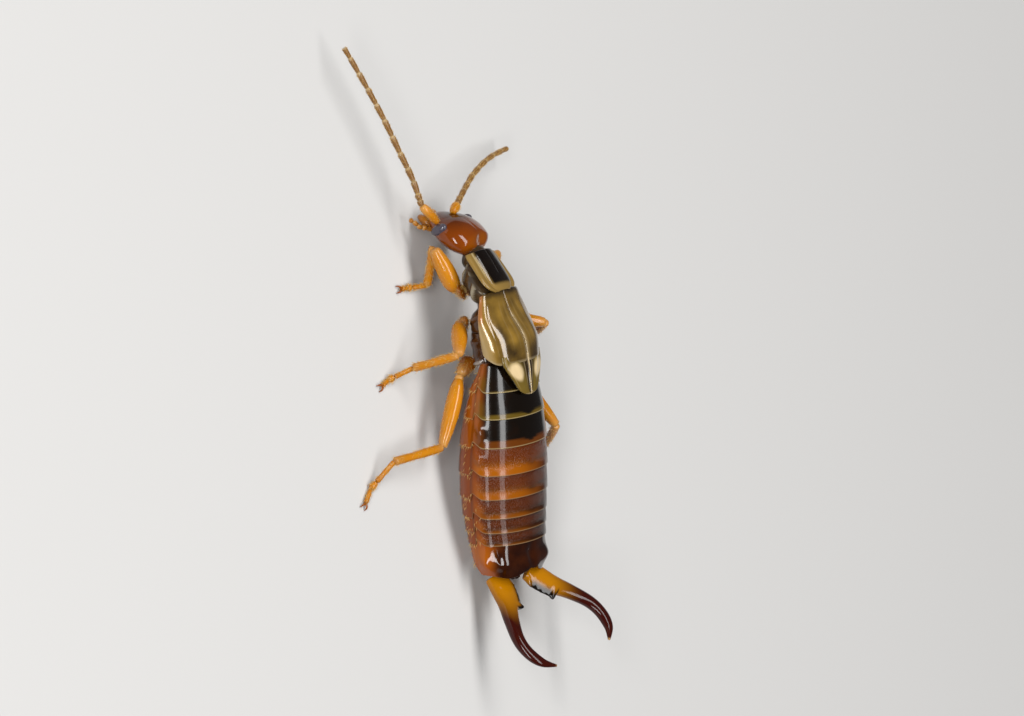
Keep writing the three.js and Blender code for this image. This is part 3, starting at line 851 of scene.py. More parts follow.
    def last(self) -> Surface:
        """Shapes the broad last ring, with its lobes over the forceps and the dip between them.

        Returns:
            The ring's closed skin with its marks.
        """
        angle = circle(self.around, 360)[None, :]
        inside = self.dorsal(angle)
        front = self.edges[-1] + self.lag(angle)
        belly = ease(180, 200, angle) * ease(360, 340, angle)
        rear = self.end + 0.1 * both(52, 20, angle) - 0.12 * bump(90, 16, angle) - 0.3 * belly
        share = np.concatenate([np.linspace(0, 0.9, 19), [0.94, 0.97, 0.99, 1.0]])[:, None]
        body = front + (rear - front) * share
        along = np.concatenate([front - self.tuck, body, rear + 0.01, rear - 0.05, rear - 0.2, rear - 0.3])
        level = np.concatenate([[-0.07], -0.03 + 0.03 * share[:, 0], [-0.03, -0.1, -0.25, -0.5]])
        proud = level[:, None] + self.shelf * ease(-1.0, 1.0, inside) * (along < rear)
        rings = self.profile.skin(along, angle, proud + self.last_relief(along, angle))
        side = ease(36, 14, inside)
        tone = 0.95 - 0.8 * side - 0.25 * bump(30, 10, inside) * ease(3.3, 3.0, along)
        amber = 0.35 * side * bump(3.3, 0.3, along)
        return loft(rings, {"tone": tone, "amber": amber}).placed(self.stand)

    def pygidium(self) -> Surface:
        """Returns the small knobbed plate between the two branches of the forceps."""
        knobs = [ball((0.09, 0.1, 0.09), at, 16) for at in self.knobs]
        return ball((0.2, 0.2, 0.14), (0, 4.02, 0.56)).joined(*knobs).marked(tone=0.97).placed(self.stand)

    def make(self) -> None:
        """Makes every ring and the sparse bristles along the sides."""
        plates = [self.ring(i) for i in range(len(self.edges) - 1)]
        for i, ring in enumerate(plates):
            finish = self.black_shells[i] if i < len(self.black_shells) else BROWN_SHELL
            make_piece(f"abdomen_plate_{i + 1}", ring, finish, [f"abdomen_ring_{i + 1}"])
        last = self.last()
        make_piece("last_plate", last.joined(self.pygidium()), TAIL_SHELL, ["abdomen_last_tergite"])
        coats = []
        for i, skin in enumerate([*plates, last]):
            n, m = skin.grid
            side = flanks(12, 12, (np.arange(m) + 0.5) * 360 / m)
            rows = bump(0.8, 0.12, (np.arange(n - 1) + 0.5) / (n - 1)) + 0.05
            bristles = replace(self.bristles, seed=self.bristles.seed + i)
            coats.append(bristles.grow(skin, np.outer(rows, side).ravel()))
        make_hairs("abdomen_hairs", coats)


@dataclass
class Forceps:
    """The two branches: a broad toothed blade at the base, then a round bowed horn."""

    stand: Stand = Stand((0, 4.24, 1.0), 31, 12, 0)
    skew: float = 0.17
    path: tuple[tuple[float, float], ...] = (
        (0.67, -0.12), (1.0, 0.65), (1.46, 1.3), (1.83, 1.95), (1.9, 2.5), (1.72, 3.0), (1.31, 3.37),
    )
    widths: tuple[float, ...] = (0.42, 0.4, 0.3, 0.24, 0.2, 0.16, 0.035)
    depths: tuple[float, ...] = (0.27, 0.27, 0.24, 0.21, 0.18, 0.14, 0.03)
    around: int = 44
    rings: int = 70
    blade_end: float = 0.285
    blade_reach: float = 0.16
    teeth: int = 7
    tooth_height: float = 0.012
    finish: Chitin = Chitin(
        "forceps_shell", "forceps", "#A96C04", "#330A04", "#0C0502", "#B98E5A", roughness=0.12,
        coat=0.15, mottle=0.12,
    )

    def branch(self, side: Side) -> Surface:
        """Sweeps one branch in the plane of the pair.

        Args:
            side: which one.

        Returns:
            Its closed skin with its marks.
        """
        share = np.concatenate([np.linspace(0, 0.3, self.rings), np.linspace(0.306, 1, self.rings)])
        flat = np.array(self.path)
        flat[:, 1] -= side.value * self.skew
        middle, ahead, _ = trace(flat, share)
        width, depth = smooth(self.widths, share), smooth(self.depths, share)
        close = dome(np.minimum(share / 0.03, (1 - share) / 0.012), 0.0004)[:, None]
        blade = ease(0.03, 0.1, share) * ease(self.blade_end + 0.012, self.blade_end - 0.012, share)
        saw = np.sin(share / self.blade_end * np.pi * self.teeth) ** 2 * ease(0.06, 0.1, share)
        width = width * (1 + 0.16 * ease(0.5, 0.8, share))
        inward = width + blade * self.blade_reach + 0.1 * bump(self.blade_end - 0.022, 0.02, share)
        turn = circle(self.around)[None, :]
        c, inner = np.cos(turn), np.clip(-np.cos(turn), 0, 1)
        reach = np.where(c > 0, width[:, None], inward[:, None]) * c * close
        reach = (reach - self.tooth_height * (blade * saw)[:, None] * inner**8)[..., None]
        thin = 1 - 0.5 * blade[:, None] * inner**1.4
        dent = 1 - 0.12 * bump(0.14, 0.1, share)[:, None] * bump(0, 0.5, c)
        out = np.stack([ahead[:, 1], -ahead[:, 0]], axis=1)
        level = middle[:, None] + reach * out[:, None]
        z = np.sin(turn) * depth[:, None] * thin * dent * close
        shade = 0.3 * ease(0.02, 0.2, share)[:, None] * np.clip(c, 0, 1) ** 2
        brown = ease(0.16, 0.52, share)[:, None] + shade
        edge = (ease(0.05, 0.12, share) * (share < self.blade_end + 0.01))[:, None] * ease(0.45, 0.85, inner)
        marks = {"tone": np.clip(brown, 0, 1), "amber": edge, "rim": 0.7 * ease(0.965, 0.995, share)[:, None]}
        return loft(np.concatenate([level, z[..., None]], axis=-1) * side.flip, marks).placed(self.stand)

    def make(self) -> None:
        """Makes both branches."""
        for side in Side:
            make_piece(f"forceps_{side.word}", self.branch(side), self.finish, [f"cercus_{side.word}"])


@dataclass
class Thorax:
    """The two stretches below the wings, the wing cases and the folded wing tips."""

    stand: Stand = Stand((0.03, -3.72, 2.52), -7, 0, 2)
    profile: Profile = Profile(
        (
            (-0.82, 0.62, 0.1, 0.6, 0),
            (-0.6, 0.86, 0.18, 0.8, 0),
            (0.0, 0.98, 0.28, 0.86, 0),
            (0.6, 1.04, 0.4, 0.84, 0),
            (0.86, 1.04, 0.44, 0.78, 0),
        ),
        boxy=1.0,
    )
    split: float = -0.05
    front: float = -1.35
    rear: float = 0.98
    halves: tuple[float, ...] = (1.0, 1.26, 1.33, 1.24)
    tops: tuple[float, ...] = (0.3, 0.52, 0.95, 1.02)
    wrap: float = 84
    seam: float = 0.012
    case_thickness: float = 0.07
    tip_front: float = 0.72
    tip_rear: float = 2.06
    tip_thickness: float = 0.06
    # Its grey rim colour is painted sheen on the crests of the side folds.
    skin: Chitin = Chitin(
        "thorax_shell", "shell_dark", "#6E4220", "#170C07", "#8A561E", "#A39C92", roughness=0.16, coat=0.4,
        mottle=0.5, mottle_size=0.35,
    )
    case: Chitin = Chitin(
        "wing_case_shell", "wing_case", "#8E6D2A", "#20150A", "#A0663C", "#B8A47C", roughness=0.16, coat=0.9,
        mottle=0.75, mottle_size=0.4, metallic=0.1,
    )
    # Its rim colour serves the tip's own pale spot and also a painted highlight along the seam.
    tip: Chitin = Chitin(
        "wing_tip_shell", "wing_tip", "#7C6628", "#20150A", "#8A5A26", "#DCC396", roughness=0.16, coat=0.5,
        mottle=0.25, mottle_size=0.3,
    )

    def trunk(self, start: float, end: float) -> Surface:
        """Shapes a stretch of the trunk with the folds of its side plates, their crests painted paler as
        silvery sheen.

        Args:
            start: its front end on the axis.
            end: its rear end.

        Returns:
            Its closed skin with its marks.
        """
        along = np.linspace(start, end, 30)[:, None]
        angle = circle(96, 360)[None, :]
        flank = flanks(20, 30, angle)
        slant = along * 8.5 + 0.05 * np.abs(angle - 90)
        ridge = ease(0.35, 1.0, np.sin(slant)) * (0.6 + 0.4 * np.sin(slant * 0.63 + 1))
        rings = self.profile.skin(along, angle, (0.08 + 0.12 * ridge) * flank)
        rings[..., 0] *= 0.9 + 0.1 * dome(np.minimum(along - start, end - along) / 0.12)
        # The ridge term in tone and the grey rim colour on the crests are painted sheen on the side folds.
        tone = 0.95 - 0.25 * flank - 0.3 * ridge * flank
        return loft(rings, {"tone": tone, "rim": 0.7 * flank * ease(0.6, 0.95, ridge)}).placed(self.stand)

    def case_point(self, u: Array, v: Array, depth: Array | float) -> Array:
        """Finds points of a left wing case.

        Args:
            u: shares from the seam outward.
            v: shares from front to rear.
            depth: how deep the points lie below the arch of the case.

        Returns:
            One point for each.
        """
        start = self.front + 0.1 * u**2
        end = self.rear - 0.46 * np.clip((u - 0.6) / 0.46, 0, 1) ** 2
        along = start + (end - start) * v
        share = (along - start) / (self.rear - start)
        angle = np.radians(self.wrap) * u
        x = self.seam + (smooth(self.halves, share) - depth) * np.sin(angle) ** 0.9
        return np.stack([x, along, (smooth(self.tops, share) - depth) * np.cos(angle) ** 0.8], axis=-1)

    def case_marks(self, u: Array, v: Array) -> dict[str, Array]:
        """Colours a wing case, with its blotches, its veins, the pale strip at its side and painted shade
        along its front edge under the shield.

        Args:
            u: shares from the seam outward.
            v: shares from front to rear.

        Returns:
            The marks.
        """
        fan = sum(bump(at + spread * v, 0.012, u) for at, spread in ((0.09, 0.04), (0.2, 0.1)))
        veins = fan * ease(0.08, 0.25, v) * ease(0.9, 0.6, v)
        pale = bump(0.28, 0.09, u - 0.2 * (v - 0.3)) * bump(0.3, 0.13, v)
        pale = pale + bump(0.22, 0.08, u) * bump(0.62, 0.12, v)
        pale = pale + 0.6 * bump(0.09, 0.03, u) * bump(0.45, 0.2, v)
        gloom = 0.6 * ease(0.66, 0.86, v) * bump(0.24, 0.3, u)
        gloom = gloom + 0.7 * bump(0.42, 0.08, u) * bump(0.62, 0.2, v)
        # The 0.5 term at the front edge is painted shade under the shield's rear flange.
        tone = 0.46 - 0.42 * pale + 0.5 * gloom + 0.5 * ease(0.12, 0.02, v) - 0.3 * ease(0.6, 0.75, u)
        rim = 0.45 * ease(0.955, 0.985, v) + 0.1 * veins + 0.35 * ease(0.7, 0.85, u) * ease(0.35, 0.5, v)
        rim = rim + 0.4 * bump(0.015, 0.02, u) * ease(0.25, 0.4, v)
        strip = ease(0.76, 0.84, u) * ease(0.55, 0.3, v)
        return {"tone": tone, "amber": 0.75 * strip, "rim": rim}

    def wing_case(self, side: Side) -> Surface:
        """Shapes one wing case: thin, arched over the side, with a low swelling, a shallow crease and a
        bent-down strip.

        Args:
            side: which one.

        Returns:
            Its plate with its marks.
        """
        u = np.concatenate([[0, 0.015, 0.04], np.linspace(0.07, 0.98, 54), [1.0]])[None, :]
        v = np.concatenate([[0, 0.02], np.linspace(0.05, 0.97, 56), [0.99, 1.0]])[:, None]
        u, v = np.broadcast_arrays(u, v)
        rim_drop = 0.03 * (ease(0.04, 0, u) + ease(0.97, 1, u) + ease(0.97, 1, v) + ease(0.03, 0, v))
        swell = 0.02 * bump(0.34, 0.12, u) * bump(0.34, 0.26, v)
        keel = swell - 0.008 * bump(0.62, 0.028, u) * ease(0.1, 0.25, v) * ease(0.98, 0.85, v)
        outer = self.case_point(u, v, rim_drop - keel)
        inner = self.case_point(u, v, rim_drop * 0.5 + self.case_thickness)
        return plate(outer * side.flip, inner * side.flip, self.case_marks(u, v)).placed(self.stand)

    def wing_tip(self, side: Side) -> Surface:
        """Shapes one folded wing tip, showing behind its case, with a pale oval spot and a painted highlight
        along the seam.

        Args:
            side: which one.

        Returns:
            Its plate with its marks.
        """
        u = np.linspace(0, 1, 44)[None, :]
        v = np.concatenate([np.linspace(0, 0.9, 34), 1 - 0.1 * np.linspace(0.85, 0, 10) ** 2])[:, None]
        u, v = np.broadcast_arrays(u, v)
        along = self.tip_front + (self.tip_rear - self.tip_front) * v
        rounded = np.sqrt(np.clip(1 - np.clip((v - 0.55) / 0.45, 0, 1) ** 3, 0.0015, 1))
        x = self.seam + u * (1 - 0.42 * ease(0.1, 0.85, v)) * rounded
        ridge = 0.04 * bump(0.52, 0.1, u) * (1 - v) + 0.035 * ease(0.1, 0, u)
        top = 0.97 + 0.04 * ease(0.0, 0.4, v) - 0.03 * v - 0.34 * (x / 1.3) ** 2 + ridge
        top = top - 0.03 * (ease(0.94, 1, u) + ease(0.95, 1, v))
        spot = ease(1.2, 0.6, np.hypot((u - 0.64) / 0.32, (v - 0.4) / 0.24))
        lines = sum(bump(at, 0.02, u) for at in (0.2, 0.9)) * ease(0.9, 0.6, v)
        tone = 0.95 - 0.6 * ease(0.22, 0.5, u + 0.2 * v)
        # The 0.8 term along the seam is a painted highlight; the spot, the rear edge and the lines are the
        # tip's own pale marks.
        rim = 0.85 * spot + 0.3 * ease(0.95, 0.99, v) + 0.8 * ease(0.05, 0.0, u) + 0.25 * lines
        outer = np.stack([x, along, top], axis=-1)
        inner = np.stack([x, along, top - self.tip_thickness * (1 - 0.5 * v)], axis=-1)
        marks = {"tone": tone, "rim": np.clip(rim, 0, 1)}
        return plate(outer * side.flip, inner * side.flip, marks).placed(self.stand)

    def make(self) -> None:
        """Makes the trunk and what lies over it."""
        start, end = self.profile.rows[0][0] - 0.2, self.profile.rows[-1][0] + 0.1
        make_piece("middle_thorax", self.trunk(start, self.split), self.skin, ["mesothorax"])
        make_piece("hind_thorax", self.trunk(self.split - 0.04, end), self.skin, ["metathorax"])
        for side in Side:
            word = side.word
            make_piece(f"wing_case_shell_{word}", self.wing_case(side), self.case, [f"wing_case_{word}"])
            make_piece(f"wing_tip_shell_{word}", self.wing_tip(side), self.tip, [f"wing_tip_{word}"])


@dataclass
class Prothorax:
    """The first thorax stretch and the shield over it."""

    stand: Stand = Stand((0.03, -5.37, 2.31), 28, 1, 9)
    profile: Profile = Profile(
        (
            (-0.66, 0.48, 0.22, 0.45, 0),
            (-0.3, 0.68, 0.24, 0.62, 0),
            (0.3, 0.74, 0.24, 0.66, 0),
            (0.66, 0.6, 0.2, 0.52, 0),
        ),
        boxy=1.0,
    )
    trunk_ends: tuple[float, float] = (-0.72, 0.98)
    length: float = 1.5
    half: tuple[float, float] = (0.87, 0.95)
    rise: float = 0.3
    up: float = 0.36
    corner: float = 0.42
    thickness: float = 0.06
    # Its rim colour is a painted highlight line along the flanges.
    shell: Chitin = Chitin(
        "shield_shell", "shell_dark", "#7A6434", "#0E0704", "#9A7436", "#BFAF84", roughness=0.16, mottle=0.1
    )

    def trunk(self) -> Surface:
        """Shapes the stretch below the shield, its fold crests painted pale as sheen.

        Returns:
            Its closed skin with its marks.
        """
        along = np.linspace(*self.trunk_ends, 40)[:, None]
        angle = circle(80, 360)[None, :]
        flank = flanks(25, 32, angle)
        ridge = ease(0.2, 1.0, np.sin(along * 8 + 0.05 * np.abs(angle - 90)))
        rings = self.profile.skin(along, angle, 0.1 * (ridge - 0.5) * flank)
        half = np.ptp(self.trunk_ends) / 2
        rings[..., ::2] *= dome((half - np.abs(along - np.mean(self.trunk_ends))) / 0.2, 0.5)[..., None]
        tone = 0.75 - 0.3 * flank * ease(0.2, 0.6, along)
        # The rim colour on the ridge crests is painted sheen on the side folds.
        return loft(rings, {"tone": tone, "rim": 0.6 * flank * ease(0.6, 0.95, ridge)}).placed(self.stand)

    def shield(self) -> Surface:
        """Shapes the shield: a dark disc with broad pale flanges at the sides and behind, and a painted
        highlight line along each flange.

        Returns:
            Its plate with its marks.
        """
        edge = np.array([0.96, 0.985, 1])
        across = np.concatenate([-edge[::-1], np.linspace(-0.92, 0.92, 66), edge])[None, :]
        v = np.concatenate([[0, 0.015], np.linspace(0.04, 0.96, 50), [0.985, 1]])[:, None]
        across, v = np.broadcast_arrays(across, v)
        off = np.abs(across)
        along = -0.08 - self.length / 2 + self.length * v
        half = self.half[0] + (self.half[1] - self.half[0]) * v
        rear = np.clip((v - 1 + self.corner) / self.corner, 0, 1)
        front = np.clip((0.12 - v) / 0.12, 0, 1)
        x = across * half * np.sqrt(np.clip(1 - 0.72 * rear**3 - 0.12 * front**2, 0.12, 1))
        vault = self.rise * (1 - off**2.4) * (1 - 0.5 * v**2)
        lift = 0.05 * ease(0.72, 1.0, off) - 0.04 * bump(0.7, 0.1, off)
        groove = 0.02 * bump(0, 0.03, across) * ease(0.7, 0.5, v)
        brim = 0.03 * (ease(0.97, 1, off) + ease(0.975, 1, v) + ease(0.02, 0, v))
        top = self.up + vault + lift - groove
        pale = np.clip(ease(0.5, 0.66, off - 0.1 * (1 - v)) + ease(0.8, 0.9, v), 0, 1)
        marks = {
            "tone": 1 - pale,
            "amber": 0.3 * pale,
            # A thin pale line along each flange is a painted highlight.
            "rim": 0.6 * bump(0.72, 0.035, off) * ease(0.8, 0.4, v),
        }
        outer = np.stack([x, along, top - brim], axis=-1)
        inner = np.stack([x, along, top - self.thickness], axis=-1)
        return plate(outer, inner, marks).placed(self.stand)

    def make(self) -> None:
        """Makes the stretch and its shield."""
        make_piece("first_thorax", self.trunk(), NECK_SKIN, ["prothorax"])
        make_piece("shield", self.shield(), self.shell, ["pronotum"])


@dataclass
class Head:
    """The head capsule, with eyes, mouthparts, palps and the neck behind it."""

    stand: Stand = Stand((-0.14, -7.02, 1.5), 46, 15, 17)
    profile: Profile = Profile(
        (
            (-1.08, 0.34, 0.14, 0.2, 0),
            (-0.85, 0.52, 0.26, 0.32, 0),
            (-0.55, 0.78, 0.4, 0.42, 0),
            (-0.2, 1.0, 0.5, 0.48, 0),
            (0.25, 1.02, 0.51, 0.49, 0),
            (0.66, 0.84, 0.42, 0.42, 0),
            (0.9, 0.46, 0.22, 0.26, 0),
        ),
        boxy=0.95,
    )
    rings: int = 70
    end_rounding: float = 0.16
    eye_at: Point = (0.9, -0.35, 0.08)
    eye_radii: Point = (0.15, 0.17, 0.3)
    eye_lean: float = -32
    jaw_palp: tuple[Point, ...] = (
        (0.42, -0.9, -0.3), (0.56, -1.0, -0.36), (0.66, -1.16, -0.34), (0.72, -1.32, -0.26),
        (0.74, -1.46, -0.3),
    )
    lip_palp: tuple[Point, ...] = ((0.2, -1.08, -0.46), (0.3, -1.2, -0.48), (0.36, -1.34, -0.42))
    palp_radii: tuple[float, float] = (0.075, 0.055)
    neck_ends: tuple[Point, Point] = ((0, 0.7, -0.04), (0, -0.5, -0.1))
    neck_radii: Point = (0.36, 0.42, 0.46)
    shell: Chitin = Chitin(
        "head_capsule_shell", "head_shell", "#8A3F05", "#220601", "#985606", roughness=0.08, coat=0.4,
        mottle_size=0.8,
    )
    # The eye's lilac-grey light colour is painted sheen; its dark colour is the eye's own.
    lens: Chitin = Chitin(
        "eye_lens", "eye", "#625A68", "#120E10", roughness=0.16, coat=0.6, mottle=0.1, grain_size=0.03,
        grain_depth=0.003,
    )
    limb: Chitin = Chitin(
        "mouth_shell", "leg_amber", "#B0701A", "#5A2A08", rim="#C9A870", roughness=0.3, mottle=0.3,
        mottle_size=0.2,
    )

    def capsule(self) -> Surface:
        """Shapes the capsule, with a notch in its rear edge, the fine seams of the crown and painted shade on
        the front of the crown.

        Returns:
            Its closed skin with its marks.
        """
        share = crowded(self.rings)
        front, rear = self.profile.rows[0][0], self.profile.rows[-1][0]
        along = (front + (rear - front) * share)[:, None]
        angle = circle(120, 360)[None, :]
        rings = self.profile.skin(along, angle)
        close = np.clip(np.minimum(share, 1 - share) * (rear - front) / self.end_rounding, 0, 1)
        rings[..., ::2] *= np.sqrt(1 - 0.55 * (1 - close) ** 2)[:, None, None]
        x, upper = rings[..., 0], angle < 180
        rings[..., 1] -= 0.14 * bump(0, 0.32, x) * ease(0.5, 0.86, along)
        seam = 0.012 * bump(0, 0.02, x) * upper * ease(-0.2, 0.0, along)
        arms = 0.01 * bump(-0.25, 0.02, along + 0.45 * np.abs(x)) * upper * (np.abs(x) < 0.6)
        rings[..., 2] -= seam + arms
        # The 0.6 term is painted shade, darkening the front of the crown over the head's own red-brown.
        tone = 0.34 + 0.6 * ease(0.45, -0.4, along) * bump(90, 60, angle) - 0.25 * ease(-0.7, -1.0, along)
        amber = 0.35 * ease(-0.75, -1.0, along) + 0.3 * ease(0.5, 0.8, along)
        return loft(rings, {"tone": tone, "amber": amber}).placed(self.stand)

    def eye(self, side: Side) -> Surface:
        """Returns one faceted eye."""
        seat = Stand(tuple(side.flip * self.eye_at), self.eye_lean, 0, 0)
        return ball(self.eye_radii, (0, 0, 0), 40).marked(grain=1.0, tone=0.6).placed(seat).placed(self.stand)

    def mouth(self) -> Surface:
        """Shapes the upper lip, the jaws and the lower lip.

        Returns:
            All four as one surface.
        """
        upper_lip = ball((0.3, 0.16, 0.1), (0, -1.16, 0.02)).marked(tone=0.2)
        jaws = [ball((0.2, 0.3, 0.13), (x, -1.14, -0.22), 20).marked(tone=0.5) for x in (-0.22, 0.22)]
        lower_lip = ball((0.3, 0.26, 0.14), (0, -1.02, -0.4), 20).marked(tone=0.3)
        return upper_lip.joined(*jaws, lower_lip).placed(self.stand)

    def palps(self, side: Side) -> Surface:
        """Shapes the jaw palp and the small lip palp beside it.

        Args:
            side: which side's.

        Returns:
            Their joints as one surface.
        """
        joints = []
        for chain, size in zip((self.jaw_palp, self.lip_palp), self.palp_radii):
            ends = np.array(chain) * side.flip
            radii = [size * 0.8, size, size * 1.1, size]
            marks = {"tone": [0.3, 0.1], "rim": [0.0, 0.0, 0.5]}
            joints += [sweep([a, b], radii, 14, 10, **marks) for a, b in zip(ends, ends[1:])]
        return joints[0].joined(*joints[1:]).placed(self.stand)

    def neck(self) -> Surface:
        """Shapes the soft neck between the head and the first thorax stretch.

        Returns:
            Its closed skin.
        """
        stands = (self.stand, Prothorax().stand)
        nape, collar = (stand.place(np.array(at)) for stand, at in zip(stands, self.neck_ends))
        return sweep([nape, (nape + collar) / 2, collar], self.neck_radii, 40, 24).marked(tone=0.7)

    def make(self) -> None:
        """Makes the head and what it carries."""
        make_piece("head_capsule", self.capsule(), self.shell, ["head"])
        make_piece("jaws", self.mouth(), self.limb, ["mouthparts"])
        for side in Side:
            make_piece(f"eye_lens_{side.word}", self.eye(side), self.lens, [f"eye_{side.word}"])
            make_piece(f"palp_joints_{side.word}", self.palps(side), self.limb, [f"palp_{side.word}"])
        make_piece("neck_folds", self.neck(), NECK_SKIN, ["neck"])


@dataclass
class Antenna:
    """A feeler: a stout first joint, a short second, and beads whose ends are paler."""

    side: Side
    path: tuple[Point, ...]
    beads: tuple[float, ...]
    base_beads: int = 3
    around: int = 20
    root_radii: tuple[float, ...] = (0.09, 0.13, 0.15, 0.15, 0.11)
    radii: tuple[float, float] = (0.105, 0.085)
    bead_places: tuple[float, ...] = (0.0, 0.03, 0.1, 0.3, 0.6, 0.85, 0.95, 0.99)
    bead_shape: tuple[float, ...] = (0.62, 0.74, 0.82, 0.9, 1.0, 1.04, 0.96, 0.7)
    bead_pale: tuple[float, ...] = (0.9, 0.5, 0.1, 0, 0, 0.1, 0.5, 0.9)
    bristles: tuple[Setae, ...] = (
        Setae(70, 0.08, 0.006, 1.3, seed=7),
        Setae(90, 0.06, 0.005, 1.5, seed=8),
        Setae(700, 0.055, 0.005, 1.6, seed=9),
    )
    finish: Chitin = Chitin(
        "feeler_shell", "antenna_tan", "#8A6232", "#4A3018", rim="#B9A27A", roughness=0.32, coat=0.2,
        mottle_size=0.2,
    )

    def scape(self) -> Surface:
        """Shapes the long first joint.

        Returns:
            Its closed skin with its marks.
        """
        a, b = np.array(self.path[:2])
        back = a - (b - a) * 0.12
        middle = (back + b) / 2 + (0, 0, 0.02)
        return sweep([back, middle, b], self.root_radii, 24, 22, tone=[0.4, 0.2, 0.1], rim=[0, 0, 0.3])

    def stretch(self, first: int, last: int) -> Surface:
        """Shapes some of the beads as one run.

        Args:
            first: the first bead, from 0.
            last: the bead that the run ends before.

        Returns:
            Its closed skin with its marks.
        """
        starts = np.concatenate([[0], np.cumsum(self.beads)]) / sum(self.beads)
        within = np.array(self.bead_places)
        share = np.concatenate([starts[i] + (starts[i + 1] - starts[i]) * within for i in range(first, last)])
        middle, ahead, _ = trace(self.path[1:], share)
        shape, pale = (np.tile(row, last - first) for row in (self.bead_shape, self.bead_pale))
        radius = (self.radii[0] + (self.radii[1] - self.radii[0]) * share) * shape
        return tube(middle, ahead, radius, self.around, 1.0, {"rim": pale, "tone": np.full(len(share), 0.35)})

    def make(self) -> None:
        """Makes the three lengths of the feeler."""
        word = self.side.word
        root, base = self.scape(), self.stretch(0, self.base_beads)
        whip = self.stretch(self.base_beads, len(self.beads))
        make_piece(f"feeler_root_{word}", root, LIMB_SHELL, [f"antenna_{word}_scape"])
        make_piece(f"feeler_base_{word}", base, self.finish, [f"antenna_{word}_base"])
        make_piece(f"feeler_whip_{word}", whip, self.finish, [f"antenna_{word}_flagellum"])
        lie = tuple(np.subtract(self.path[-1], self.path[0]))
        coats = [replace(hair, lie=lie).grow(skin) for hair, skin in zip(self.bristles, (root, base, whip))]
        make_hairs(f"feeler_hairs_{word}", coats)


@dataclass(frozen=True)
class Leg:
    """One leg: its joint at the body, then each length with its heading and rise in degrees."""

    name: str
    root: Point
    hip: Point
    femur: Point
    tibia: Point
    foot: tuple[float, float]
    fold: Point = (0, 0, 0)
    stout: float = 1.0

    def reach(self, start: Array, length: Point) -> Array:
        """Finds the far end of one length.

        Args:
            start: the point that it leaves.
            length: how long it is, its heading and its rise.

        Returns:
            The point where it ends.
        """
        long, heading, rise = length
        turn, lift = math.radians(heading), math.radians(rise)
        step = (math.sin(turn) * math.cos(lift), -math.cos(turn) * math.cos(lift), math.sin(lift))
        return start + long * np.array(step)


